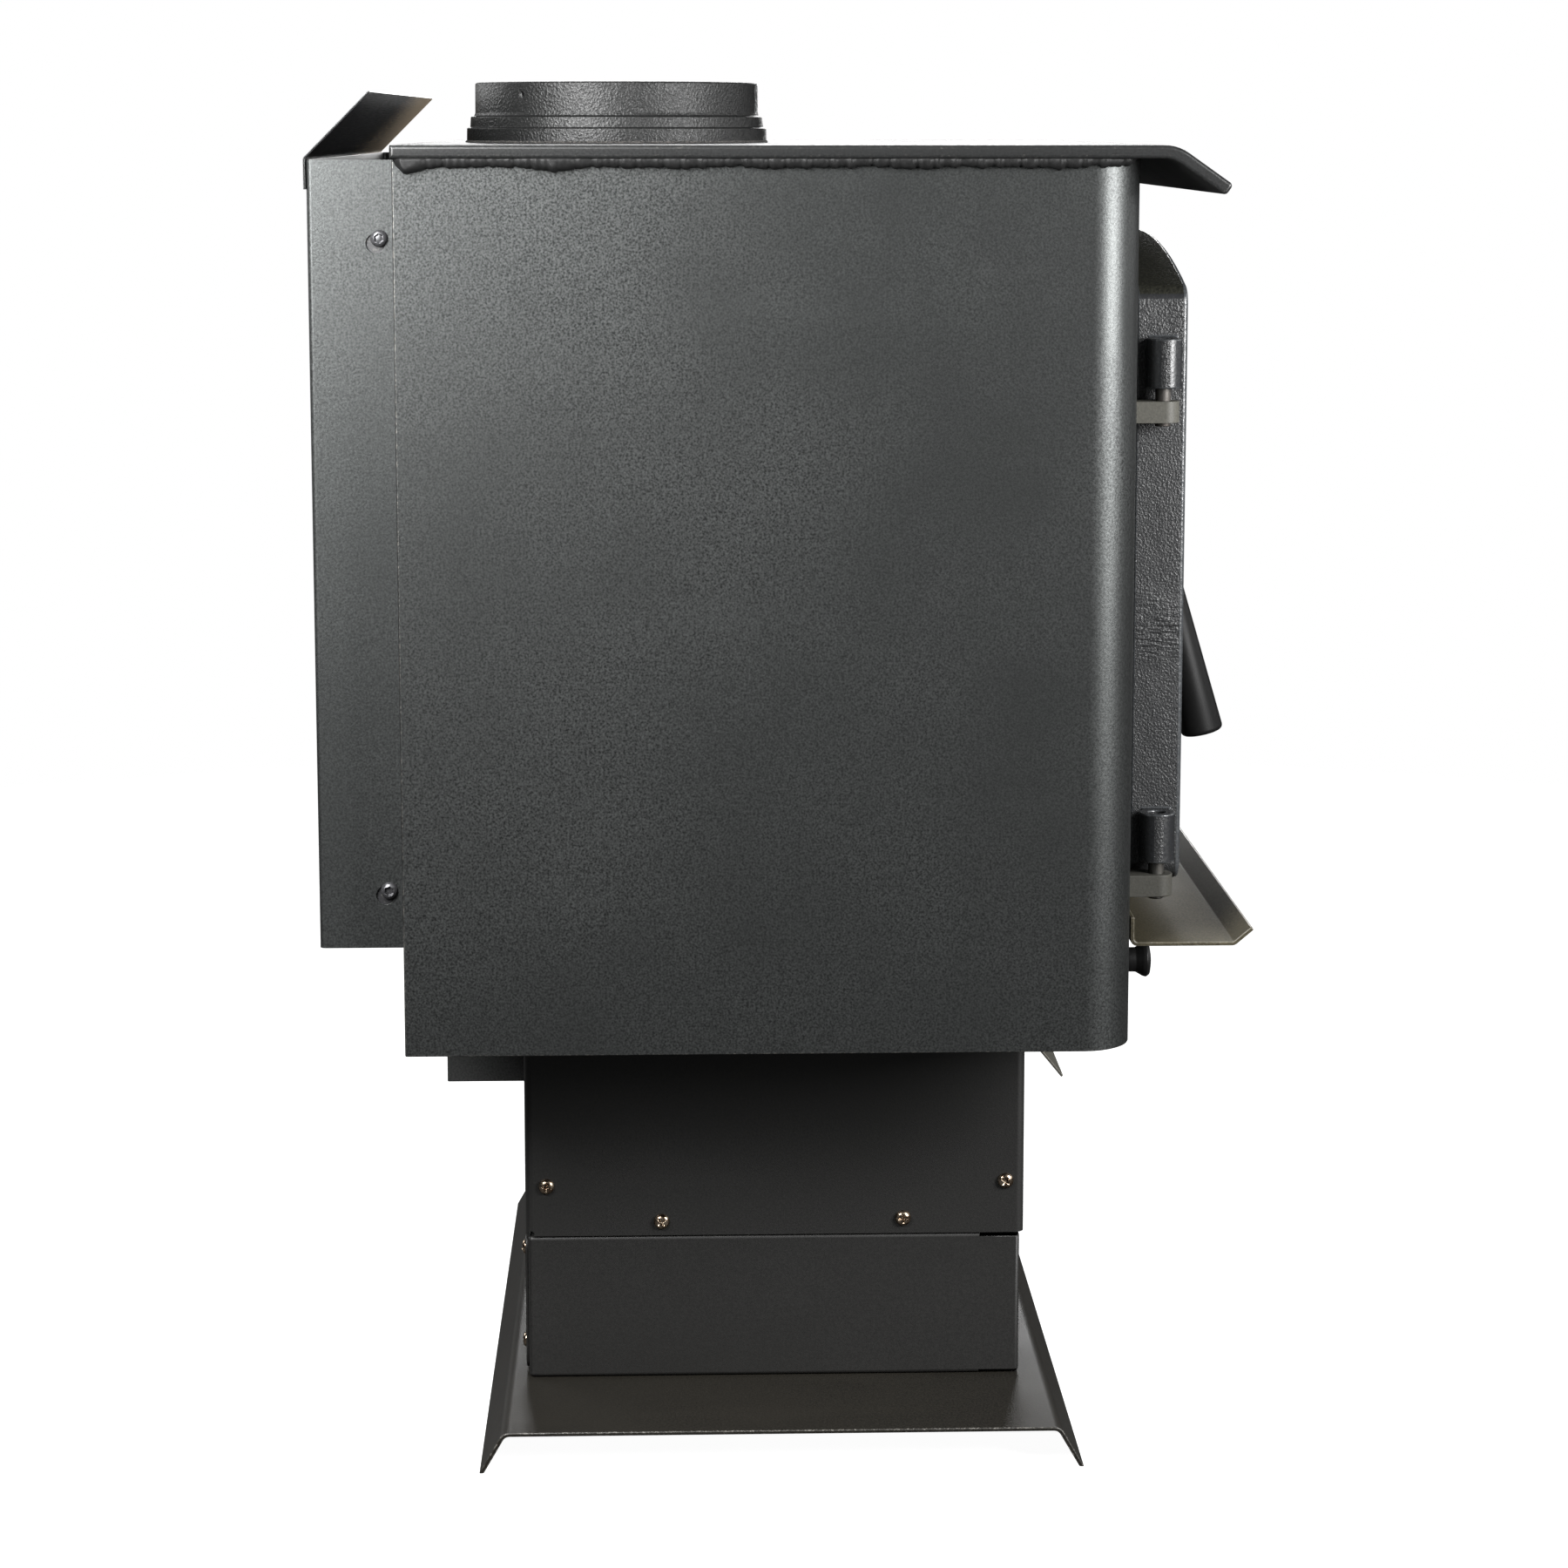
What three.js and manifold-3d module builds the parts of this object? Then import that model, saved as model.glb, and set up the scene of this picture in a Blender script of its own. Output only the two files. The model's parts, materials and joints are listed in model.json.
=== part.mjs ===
// A wood burning stove on a pedestal: welded firebox, cast-iron door, rear heat shield, flue collar,
// ash drawer and folded foot plate. Millimetres. X runs across the stove, Y from its front to its
// rear and Z up. Every sub-part is a closed solid in its own named mesh.

import * as THREE from "three";
import { mergeVertices } from "three/addons/utils/BufferGeometryUtils.js";
import Module from "manifold-3d";

const wasm = await Module();
wasm.setup();

// ---------------------------------------------------------------- driving dimensions

const GAP = 0.3; // left between two pieces that touch

const body = { half: 345, front: -254, rear: 254, low: 313, high: 931.7, wall: 6, corner: 35, lap: 60 };
const cooktop = { half: 353, thick: 9, low: 932, rear: 255, bend: -273, lip: 45, slope: 35, radius: 26 };
const collar = { y: 108, bore: 101.5, base: 114.5, ledge: 111, ring: 108, height: 45, screw: 2.3 };
const shield = { half: 320, front: 256, rear: 314, low: 385, high: 931, sheet: 1.5, screws: [426, 878] };
const deflector = { low: 911, bend: 932, tip: [270, 977] };
const door = { half: 250, low: 414, shoulder: 840, peak: 874, front: -298, back: -262, corner: 14 };
const opening = { inset: 26, gasket: 18, glass: 50, window: 64 };
const hinge = { x: -263, y: -279, barrel: 13, pin: 5.6, bore: 5.9, bracket: 11.5 };
const hinges = [{ bracket: [407.5, 423], barrel: [432, 467.5] }, { bracket: [747, 762], barrel: [771, 806] }];
const latch = { x: 212, z: 625, shaft: 6, knee: -339, lean: 13.5, arm: 60, cam: 30 };
const grip = { start: 38, end: 190, top: 10, bottom: 18 };
const shelf = { half: 315, front: -328, tip: [-341, 393.5], level: 382.5, sheet: 3, upstand: 402 };
const knob = { x: -120, z: 325, neck: 9.3, rim: 13.2, front: -295, rear: -283, rod: 4, rodEnd: -146 };
const floor = { low: 380, thick: 6, hole: 35 };
const brick = { thick: 31.7, top: 760, front: -200, plug: 45, plugY: -60 };
const tubes = { radius: 10.5, z: 782, rows: [-110, -25, 60, 145], channel: [32, 33] };
const baffle = { low: 800, thick: 25, front: -150 };
const pedestal = { half: 208, front: -192, rear: 178, split: 139, sheet: 2.5, corner: 6 };
const base = { half: 207.2, front: -189, rear: 176, low: 30, upstand: 186 };
const pedestalScrews = [[162, 177.5], [77, 150], [-102, 151], [-178, 179]]; // Y and Z on either side
const foot = { half: 320, top: 30, sheet: 3, front: [-208, -224.4], rear: [190, 206.3] };
const drawer = { half: 150, front: -194.2, low: 188, top: 281, lip: [-226, 242], pan: 138, depth: 340 };
const drawerBay = { half: 144, low: 193, high: 274 };
const intake = { half: 100, low: 228, rear: 241, sheet: 2, spigot: 38 };

// ---------------------------------------------------------------- materials

function finish(color, roughness, metalness) {
  return new THREE.MeshStandardMaterial({ color, roughness, metalness });
}

const paintedSteel = finish(0x3a3b3e, 0.55, 0.3);
const castIron = finish(0x161616, 0.45, 0.4);
const bracketSteel = finish(0x37372f, 0.6, 0.4);
const rawSteel = finish(0x6f6a62, 0.5, 0.8);
const screwSteel = finish(0x8a7a66, 0.35, 0.9);
const blackHandle = finish(0x131313, 0.4, 0.1);
const firebrick = finish(0xb79d72, 0.95, 0);
const fibreBoard = finish(0xd6cdb8, 0.95, 0);
const ceramicGlass = finish(0x2b2a27, 0.08, 0);
const glassRope = finish(0x8d8c88, 0.9, 0);

// ---------------------------------------------------------------- solids

// A closed solid from a three.js geometry, with its shared vertices joined.
function solid(geometry) {
  const bare = geometry.clone();
  bare.deleteAttribute("normal");
  bare.deleteAttribute("uv");
  const merged = mergeVertices(bare, 1e-4);
  const vertProperties = new Float32Array(merged.attributes.position.array);
  const triVerts = new Uint32Array(merged.index.array);
  return new wasm.Manifold(new wasm.Mesh({ numProp: 3, vertProperties, triVerts }));
}

function geometryOf(made) {
  const { vertProperties, triVerts } = made.getMesh();
  const geometry = new THREE.BufferGeometry();
  geometry.setAttribute("position", new THREE.BufferAttribute(new Float32Array(vertProperties), 3));
  geometry.setIndex(new THREE.BufferAttribute(new Uint32Array(triVerts), 1));
  geometry.computeVertexNormals();
  return geometry;
}

function cut(from, ...tools) {
  return geometryOf(tools.reduce((left, tool) => left.subtract(solid(tool)), solid(from)));
}

function join(first, ...others) {
  return geometryOf(others.reduce((whole, other) => whole.add(solid(other)), solid(first)));
}

// A box between two opposite corners.
function block([x0, y0, z0], [x1, y1, z1]) {
  const box = new THREE.BoxGeometry(x1 - x0, y1 - y0, z1 - z0);
  return box.translate((x0 + x1) / 2, (y0 + y1) / 2, (z0 + z1) / 2);
}

// A closed outline whose corners are [a, b] or, where they are rounded, [a, b, radius].
function outline(corners, steps = 5) {
  const last = corners.length - 1;
  const drawn = corners.flatMap((corner, i) => {
    if (!corner[2]) return [new THREE.Vector2(corner[0], corner[1])];
    return rounded(corners[i === 0 ? last : i - 1], corner, corners[i === last ? 0 : i + 1], corner[2], steps);
  });
  return drawn;
}

// The arc of the given radius that rounds the corner between two straight legs.
function rounded(before, corner, after, radius, steps) {
  const at = new THREE.Vector2(corner[0], corner[1]);
  const back = new THREE.Vector2(before[0], before[1]).sub(at).normalize();
  const ahead = new THREE.Vector2(after[0], after[1]).sub(at).normalize();
  const half = back.angleTo(ahead) / 2;
  const setBack = radius / Math.tan(half);
  const start = at.clone().addScaledVector(back, setBack);
  const end = at.clone().addScaledVector(ahead, setBack);
  const middle = back.clone().add(ahead).normalize().multiplyScalar(radius / Math.sin(half)).add(at);
  const from = start.clone().sub(middle).angle();
  let turn = end.clone().sub(middle).angle() - from;
  if (turn > Math.PI) turn -= 2 * Math.PI;
  if (turn < -Math.PI) turn += 2 * Math.PI;
  return Array.from({ length: steps + 1 }, (_, i) => {
    const angle = from + (turn * i) / steps;
    return new THREE.Vector2(middle.x + radius * Math.cos(angle), middle.y + radius * Math.sin(angle));
  });
}

// The closed outline of a bent sheet, from the path that its middle follows. Every inner point of
// the path is a bend of the given radius.
function bentSheet(path, thickness, radius, steps = 5) {
  const middle = path.flatMap((point, i) => {
    const end = i === 0 || i === path.length - 1;
    return end ? [new THREE.Vector2(...point)] : rounded(path[i - 1], point, path[i + 1], radius, steps);
  });
  const sides = [thickness / 2, -thickness / 2].map((offset) => middle.map((point, i) => {
    const back = point.clone().sub(middle[Math.max(i - 1, 0)]);
    const ahead = middle[Math.min(i + 1, middle.length - 1)].clone().sub(point);
    if (back.length() === 0) back.copy(ahead);
    if (ahead.length() === 0) ahead.copy(back);
    const along = back.normalize().add(ahead.normalize());
    const stretch = 2 / along.length();
    const across = new THREE.Vector2(-along.y, along.x).normalize();
    return point.clone().addScaledVector(across, offset * stretch);
  }));
  return [...sides[0], ...sides[1].reverse()];
}

function extruded(points, length) {
  const shape = new THREE.Shape(points);
  return new THREE.ExtrudeGeometry(shape, { depth: length, bevelEnabled: false });
}

// An outline in X and Y, raised from one height to another.
function raised(points, low, high) {
  return extruded(points, high - low).translate(0, 0, low);
}

// An outline in X and Z, carried from its front to its rear along Y.
function facing(points, front, rear) {
  return extruded(points, rear - front).rotateX(Math.PI / 2).translate(0, rear, 0);
}

// A side profile in Y and Z, carried along X.
function along(points, left, right) {
  const turn = new THREE.Matrix4().makeBasis(
    new THREE.Vector3(0, 1, 0), new THREE.Vector3(0, 0, 1), new THREE.Vector3(1, 0, 0));
  return extruded(points, right - left).applyMatrix4(turn).translate(left, 0, 0);
}

// A round piece with its axis along Z, from a profile of [radius, height] points that closes on itself.
function turned(profile, segments = 32) {
  const points = profile.map(([radius, height]) => new THREE.Vector2(radius, height));
  if (THREE.ShapeUtils.isClockWise(points)) points.reverse();
  return new THREE.LatheGeometry([...points, points[0].clone()], segments).rotateX(Math.PI / 2);
}

// A round bar or hole with its axis along X, Y or Z, between two places on that axis.
function rod(axis, [a, b], radius, from, to, segments = 16) {
  const bar = new THREE.CylinderGeometry(radius, radius, to - from, segments);
  const middle = (from + to) / 2;
  if (axis === "x") return bar.rotateZ(Math.PI / 2).translate(middle, a, b);
  if (axis === "y") return bar.translate(a, middle, b);
  return bar.rotateX(Math.PI / 2).translate(a, b, middle);
}

function mesh(name, geometry, material) {
  const made = new THREE.Mesh(geometry, material);
  made.name = name;
  return made;
}

function group(...members) {
  const made = new THREE.Group();
  made.add(...members);
  return made;
}

// ---------------------------------------------------------------- firebox shell

// The side panel turns the front corner in one bend and laps on to the front.
function sidePanel(name, side) {
  const middle = body.half - body.wall / 2;
  const front = body.front + body.wall / 2;
  const path = [[middle, body.rear], [middle, front], [body.half - body.lap, front]];
  const plan = bentSheet(path.map(([x, y]) => [side * x, y]), body.wall, body.corner - body.wall / 2, 8);
  return mesh(name, raised(plan, body.low, body.high), paintedSteel);
}

// The door's outline drawn in by an inset: upright sides, a shallow arch and rounded corners.
function doorOutline(inset, corner = door.corner) {
  const rise = door.peak - door.shoulder;
  const radius = (door.half ** 2 + rise ** 2) / (2 * rise);
  const centre = door.peak - radius;
  const half = door.half - inset;
  const low = door.low + inset;
  const reach = Math.asin(half / (radius - inset));
  const arc = Array.from({ length: 17 }, (_, i) => {
    const angle = reach * (1 - i / 8);
    const point = [(radius - inset) * Math.sin(angle), centre + (radius - inset) * Math.cos(angle)];
    return i === 0 || i === 16 ? [...point, corner] : point;
  });
  return outline([[-half, low, corner], [half, low, corner], ...arc]);
}

function frontPlate() {
  const half = body.half - body.lap - GAP;
  const plate = block([-half, body.front, body.low], [half, body.front + body.wall, body.high]);
  const doorway = facing(doorOutline(opening.inset), body.front - 1, body.front + body.wall + 1);
  const rodHole = rod("y", [knob.x, knob.z], knob.rod + 1, body.front - 1, body.front + body.wall + 1);
  return mesh("front_plate", cut(plate, doorway, rodHole), paintedSteel);
}

function rearPlate() {
  const half = body.half - body.wall - GAP;
  const plate = block([-half, body.rear - body.wall, body.low], [half, body.rear, body.high]);
  return mesh("rear_plate", plate, paintedSteel);
}

function fireboxFloor() {
  const half = body.half - body.wall - GAP;
  const front = body.front + body.wall + GAP;
  const corner = body.corner - body.wall + 1;
  const plan = outline([[-half, front, corner], [half, front, corner], [half, -front], [-half, -front]]);
  const plate = raised(plan, floor.low, floor.low + floor.thick);
  const chute = rod("z", [0, brick.plugY], floor.hole, floor.low - 1, floor.low + floor.thick + 1, 32);
  return mesh("firebox_floor", cut(plate, chute), rawSteel);
}

function cooktopPlate() {
  const middle = cooktop.low + cooktop.thick / 2;
  const slope = THREE.MathUtils.degToRad(cooktop.slope);
  const tip = [cooktop.bend - cooktop.lip * Math.cos(slope), middle - cooktop.lip * Math.sin(slope)];
  const profile = bentSheet([[cooktop.rear, middle], [cooktop.bend, middle], tip], cooktop.thick, cooktop.radius);
  const plate = along(profile, -cooktop.half, cooktop.half);
  const flue = rod("z", [0, collar.y], collar.bore, cooktop.low - 1, cooktop.low + cooktop.thick + 1, 48);
  return mesh("cooktop_plate", cut(plate, flue), paintedSteel);
}

function flueCollar() {
  const seat = GAP;
  const profile = [
    [collar.bore, seat], [collar.base, seat], [collar.base, 12.6], [collar.ledge, 12.6],
    [collar.ledge, 21], [collar.ring, 21], [collar.ring, collar.height], [collar.bore, collar.height],
  ];
  const ring = turned(profile, 48);
  const holes = [140, 260, 20].map((degrees) => {
    const hole = rod("x", [0, collar.height - 9], collar.screw, collar.bore - 5, collar.base + 5, 10);
    return hole.rotateZ(THREE.MathUtils.degToRad(degrees));
  });
  const made = mesh("flue_collar", cut(ring, ...holes), castIron);
  made.position.set(0, collar.y, cooktop.low + cooktop.thick);
  return made;
}

// ---------------------------------------------------------------- inside the firebox

function floorBricks() {
  const low = floor.low + floor.thick + GAP;
  const edge = body.half - body.wall - 2 * GAP - brick.thick - GAP;
  const third = (2 * edge) / 3;
  return ["left", "centre", "right"].map((place, i) => {
    const left = -edge + i * third + (i ? GAP : 0);
    const slab = block([left, -235, low], [-edge + (i + 1) * third, 215, low + brick.thick]);
    const hole = rod("z", [0, brick.plugY], brick.plug, low - 1, low + brick.thick + 1, 32);
    return mesh(`floor_brick_${place}`, i === 1 ? cut(slab, hole) : slab, firebrick);
  });
}

function wallBricks() {
  const low = floor.low + floor.thick + GAP;
  const outer = body.half - body.wall - 2 * GAP;
  const inner = outer - brick.thick;
  const rear = body.rear - body.wall - GAP;
  return [
    mesh("side_brick_left", block([-outer, brick.front, low], [-inner, rear, brick.top]), firebrick),
    mesh("side_brick_right", block([inner, brick.front, low], [outer, rear, brick.top]), firebrick),
    mesh("rear_brick", block([GAP - inner, rear - brick.thick, low], [inner - GAP, rear, brick.top]), firebrick),
  ];
}

// A square channel along each side feeds the tubes that cross the firebox under the baffle.
function airChannel(name, side) {
  const [wide, high] = tubes.channel;
  const outer = side * (body.half - body.wall - 2 * GAP);
  const inner = outer - side * wide;
  const [left, right] = side > 0 ? [inner, outer] : [outer, inner];
  const low = tubes.z - high / 2;
  const front = brick.front + 10;
  const rear = body.rear - body.wall - 2;
  const shell = block([left, front, low], [right, rear, low + high]);
  const hollow = block([left + 2, front - 1, low + 2], [right - 2, rear + 1, low + high - 2]);
  const reach = [inner - 8, inner + 8];
  const holes = tubes.rows.map((y) => rod("x", [y, tubes.z], tubes.radius + GAP, ...reach));
  return mesh(name, cut(shell, hollow, ...holes), rawSteel);
}

function airTubes() {
  const end = body.half - body.wall - tubes.channel[0] + 4;
  return tubes.rows.map((y, i) => {
    const bore = rod("x", [y, tubes.z], tubes.radius - 2, -end - 1, end + 1);
    return mesh(`air_tube_${i + 1}`, cut(rod("x", [y, tubes.z], tubes.radius, -end, end), bore), rawSteel);
  });
}

function baffleBoard() {
  const half = body.half - body.wall - 2;
  const rear = body.rear - body.wall - 2;
  const board = block([-half, baffle.front, baffle.low], [half, rear, baffle.low + baffle.thick]);
  return mesh("baffle_board", board, fibreBoard);
}

// A bent plate behind the top of the doorway turns air down over the glass.
function airWashPlate() {
  const back = body.front + body.wall;
  const path = [[back + 2, 892], [back + 2, 866], [back + 34, 866], [back + 16, 838]];
  return mesh("air_wash_plate", along(bentSheet(path, 2, 3, 3), -230, 230), rawSteel);
}

function logRetainer() {
  const top = floor.low + floor.thick + GAP + brick.thick;
  const path = [[-236, top + 48], [-236, top + 2], [-206, top + 2]];
  return mesh("log_retainer", along(bentSheet(path, 3, 4, 3), -205, 195), castIron);
}

// The plug stands on the floor plate in the brick's hole and lifts out to drop the ash.
function ashPlug() {
  const low = floor.low + floor.thick + GAP;
  const top = low + brick.thick + 2;
  const profile = [
    [0, low - 8], [floor.hole - 1, low - 8], [floor.hole - 1, low], [brick.plug - 1, low],
    [brick.plug - 1, top], [20, top], [16, top - 6], [0, top - 6],
  ];
  const bail = block([-18, -2.5, top - 7], [18, 2.5, top]);
  const made = mesh("ash_plug", join(turned(profile), bail), firebrick);
  made.position.y = brick.plugY;
  return made;
}

// ---------------------------------------------------------------- door

function doorFrame() {
  const shell = facing(doorOutline(0), door.front, door.back);
  const window = facing(doorOutline(opening.window), door.front - 1, door.back + 1);
  const rebate = facing(doorOutline(opening.glass), door.front + 10, door.back + 1);
  const shaftHole = rod("y", [latch.x, latch.z], latch.shaft + GAP, door.front - 1, door.back + 1);
  const barrels = hinges.flatMap(({ barrel: [low, high] }) => [
    rod("z", [hinge.x, hinge.y], hinge.barrel, low, high, 24),
    block([hinge.x, hinge.y - 11, low], [-door.half + 3, hinge.y + 9, high]),
  ]);
  const bores = hinges.map(({ barrel: [low, high] }) =>
    rod("z", [hinge.x, hinge.y], hinge.bore, low - 1, high + 1, 24));
  const cast = cut(join(shell, ...barrels), window, rebate, shaftHole, ...bores);
  return mesh("door_frame", cast, castIron);
}

// A flat piece of the door's outline between two insets, or a full sheet where it has no inner one.
function doorRing(name, [outer, inner], [front, back], material) {
  const sheet = facing(doorOutline(outer), front, back);
  const ring = inner ? cut(sheet, facing(doorOutline(inner), front - 1, back + 1)) : sheet;
  return mesh(name, ring, material);
}

function doorParts() {
  const seat = door.front + 10 + GAP;
  return [
    doorFrame(),
    doorRing("door_glass", [opening.glass + 1], [seat, seat + 5], ceramicGlass),
    doorRing("glass_frame", [opening.glass + 1, opening.window + 2], [seat + 5 + GAP, seat + 9], rawSteel),
    doorRing("door_gasket", [opening.gasket - 6, opening.gasket + 6],
      [door.back + GAP, body.front - GAP], glassRope),
  ];
}

// A bracket stands out from the front plate and carries the pin on which a barrel turns.
function hingeParts() {
  return hinges.flatMap(({ bracket: [low, high], barrel }, i) => {
    const place = i ? "upper" : "lower";
    const reach = hinge.y - hinge.bracket;
    const [left, right] = [hinge.x - hinge.bracket, hinge.x + hinge.bracket];
    const plan = outline([
      [left, body.front - GAP], [left, reach, hinge.bracket - 0.5], [right, reach, hinge.bracket - 0.5],
      [right, body.front - GAP],
    ], 6);
    const plate = cut(raised(plan, low, high), rod("z", [hinge.x, hinge.y], hinge.bore, low - 1, high + 1, 24));
    const pin = rod("z", [hinge.x, hinge.y], hinge.pin, low - 3, barrel[1] - 4, 24);
    return [mesh(`hinge_bracket_${place}`, plate, bracketSteel), mesh(`hinge_pin_${place}`, pin, rawSteel)];
  });
}

// ---------------------------------------------------------------- door latch

// The handle's axis leans forwards from the vertical; this is the point that far down it.
function onHandle(distance) {
  const lean = THREE.MathUtils.degToRad(latch.lean);
  return new THREE.Vector3(
    latch.x, latch.knee - distance * Math.sin(lean), latch.z - distance * Math.cos(lean));
}

function latchShaft() {
  const bar = rod("y", [latch.x, latch.z], latch.shaft, latch.knee, body.front + 16);
  const arm = rod("z", [0, 0], latch.shaft, -latch.arm, 0);
  arm.rotateX(-THREE.MathUtils.degToRad(latch.lean)).translate(latch.x, latch.knee, latch.z);
  const knee = new THREE.SphereGeometry(latch.shaft, 16, 8).translate(latch.x, latch.knee, latch.z);
  const cam = block(
    [latch.x - 7, body.front + 10, latch.z - latch.cam], [latch.x + 7, body.front + 15, latch.z + 8]);
  return mesh("latch_shaft", join(bar, arm, knee, cam), rawSteel);
}

function handleGrip() {
  const length = grip.end - grip.start;
  const profile = [
    [latch.shaft + GAP, 0], [grip.top, 0], [grip.bottom, -length + 4], [grip.bottom - 3, -length],
    [0, -length], [0, -26], [latch.shaft + GAP, -26],
  ];
  const made = mesh("handle_grip", turned(profile, 24), blackHandle);
  made.position.copy(onHandle(grip.start));
  made.rotation.x = -THREE.MathUtils.degToRad(latch.lean);
  return made;
}

// The wear plate behind the doorway's edge that the cam turns on to.
function latchStriker() {
  const low = [door.half - opening.inset + 3, body.front + body.wall + GAP, latch.z - 25];
  const high = [low[0] + 26, low[1] + 3, latch.z + 25];
  return mesh("latch_striker", block(low, high), rawSteel);
}

// ---------------------------------------------------------------- front fittings

function ashShelf() {
  const back = body.front - GAP - shelf.sheet / 2;
  const path = [[back, shelf.upstand], [back, shelf.level], [shelf.front, shelf.level], shelf.tip];
  const sheet = along(bentSheet(path, shelf.sheet, 4, 4), -shelf.half, shelf.half);
  return mesh("ash_shelf", sheet, paintedSteel);
}

// The rod runs back through the front plate and the pedestal to a blade under the firebox floor.
function airRod() {
  const post = knob.rodEnd;
  const bar = rod("y", [knob.x, knob.z], knob.rod, knob.rear - 2, post + 3);
  const arm = block([knob.x - 5, post - 2, knob.z - 4], [knob.x + 5, post + 2, floor.low - 3]);
  const blade = block([knob.x - 30, post - 2, floor.low - 5], [knob.x + 30, post + 90, floor.low - 2.5]);
  return mesh("air_rod", join(bar, arm, blade), rawSteel);
}

function airKnob() {
  const depth = knob.rear - knob.front;
  const profile = [
    [knob.rod + GAP, -6], [knob.neck, -6], [knob.neck, 0], [knob.rim, depth - 3], [knob.rim - 2, depth - 1],
    [6, depth], [0, depth], [0, 3], [knob.rod + GAP, 3],
  ];
  const made = mesh("air_knob", turned(profile, 24), blackHandle);
  made.position.set(knob.x, knob.rear - GAP, knob.z);
  made.rotation.x = Math.PI / 2;
  return made;
}

// ---------------------------------------------------------------- rear heat shield

// A pan-head screw with its head outwards along +X or -X and its shank through the sheet.
function screw(name, side, [x, y, z]) {
  const profile = [
    [0, -9], [2.8, -9], [2.8, 0], [6, 0], [6, 1.6], [4.6, 3.2], [2.4, 3.9], [0, 3.9],
  ];
  const made = mesh(name, turned(profile, 16), screwSteel);
  made.position.set(x, y, z);
  made.rotation.y = side * Math.PI / 2;
  return made;
}

function screwHole(half, [y, z]) {
  return rod("x", [y, z], 3.2, -half - 10, half + 10, 12);
}

const shieldScrewPlaces = shield.screws.map((z) => [shield.front + 9, z]);

function rearShield() {
  const half = shield.half - shield.sheet / 2;
  const rear = shield.rear - shield.sheet / 2;
  const path = [[half, shield.front], [half, rear], [-half, rear], [-half, shield.front]];
  const sheet = raised(bentSheet(path, shield.sheet, 3, 4), shield.low, shield.high);
  return mesh("rear_shield", cut(sheet, ...shieldScrewPlaces.map((at) => screwHole(shield.half, at))), paintedSteel);
}

function shieldDeflector() {
  const flange = shield.rear + GAP + shield.sheet / 2;
  const profile = bentSheet([[flange, deflector.low], [flange, deflector.bend], deflector.tip], shield.sheet, 3, 4);
  return mesh("shield_deflector", along(profile, -shield.half, shield.half), paintedSteel);
}

// Angle rails welded to the rear plate hold the shield off it and take its screws.
function shieldRail(name, side) {
  const outer = shield.half - shield.sheet - GAP - 1;
  const back = body.rear + GAP + 1;
  const path = [[outer, shield.front + 22], [outer, back], [outer - 28, back]];
  const plan = bentSheet(path.map(([x, y]) => [side * x, y]), 2, 3, 3);
  const rail = raised(plan, shield.low + 15, shield.high - 15);
  return mesh(name, cut(rail, ...shieldScrewPlaces.map((at) => screwHole(shield.half, at))), rawSteel);
}

function shieldScrews() {
  return [-1, 1].flatMap((side) => shieldScrewPlaces.map(([y, z], i) => {
    const place = `${side < 0 ? "left" : "right"}_${i ? "upper" : "lower"}`;
    return screw(`shield_screw_${place}`, side, [side * (shield.half + GAP), y, z]);
  }));
}

// ---------------------------------------------------------------- pedestal and foot

function rectangle(half, front, rear, corner) {
  return outline([[-half, front, corner], [half, front, corner], [half, rear, corner], [-half, rear, corner]], 3);
}

// An upright tube of sheet with a rounded rectangular plan.
function wrap({ half, front, rear }, sheet, low, high) {
  const outside = raised(rectangle(half, front, rear, pedestal.corner), low, high);
  const corner = Math.max(pedestal.corner - sheet, 0);
  const inside = rectangle(half - sheet, front + sheet, rear - sheet, corner);
  return cut(outside, raised(inside, low - 1, high + 1));
}

function pedestalWrap() {
  const tube = wrap(pedestal, pedestal.sheet, pedestal.split + GAP, floor.low - GAP);
  const { half, low, high } = drawerBay;
  const bay = block([-half, pedestal.front - 1, low], [half, pedestal.front + 10, high]);
  const rodHole = rod("y", [knob.x, knob.z], knob.rod + 1, pedestal.front - 1, pedestal.front + 5);
  const airPort = block([-60, pedestal.rear - 5, 330], [60, pedestal.rear + 1, 365]);
  const holes = pedestalScrews.map((at) => screwHole(pedestal.half, at));
  return mesh("pedestal_wrap", cut(tube, bay, rodHole, airPort, ...holes), paintedSteel);
}

// The base's top is flanged inwards and stands up inside the wrap, where the side screws reach it.
function pedestalBase() {
  const upstand = { half: pedestal.half - pedestal.sheet - 2 * GAP, front: -187, rear: 174 };
  const wall = wrap(base, pedestal.sheet, base.low + GAP, pedestal.split);
  const flange = wrap(base, 8, pedestal.split - pedestal.sheet, pedestal.split);
  const inner = wrap(upstand, pedestal.sheet, pedestal.split - pedestal.sheet, base.upstand);
  const whole = join(wall, flange, inner);
  return mesh("pedestal_base", cut(whole, ...pedestalScrews.map((at) => screwHole(base.half, at))), paintedSteel);
}

function pedestalScrewSet() {
  return [-1, 1].flatMap((side) => pedestalScrews.map(([y, z], i) => {
    const place = `${side < 0 ? "left" : "right"}_${i + 1}`;
    return screw(`pedestal_screw_${place}`, side, [side * (pedestal.half + GAP), y, z]);
  }));
}

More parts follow.
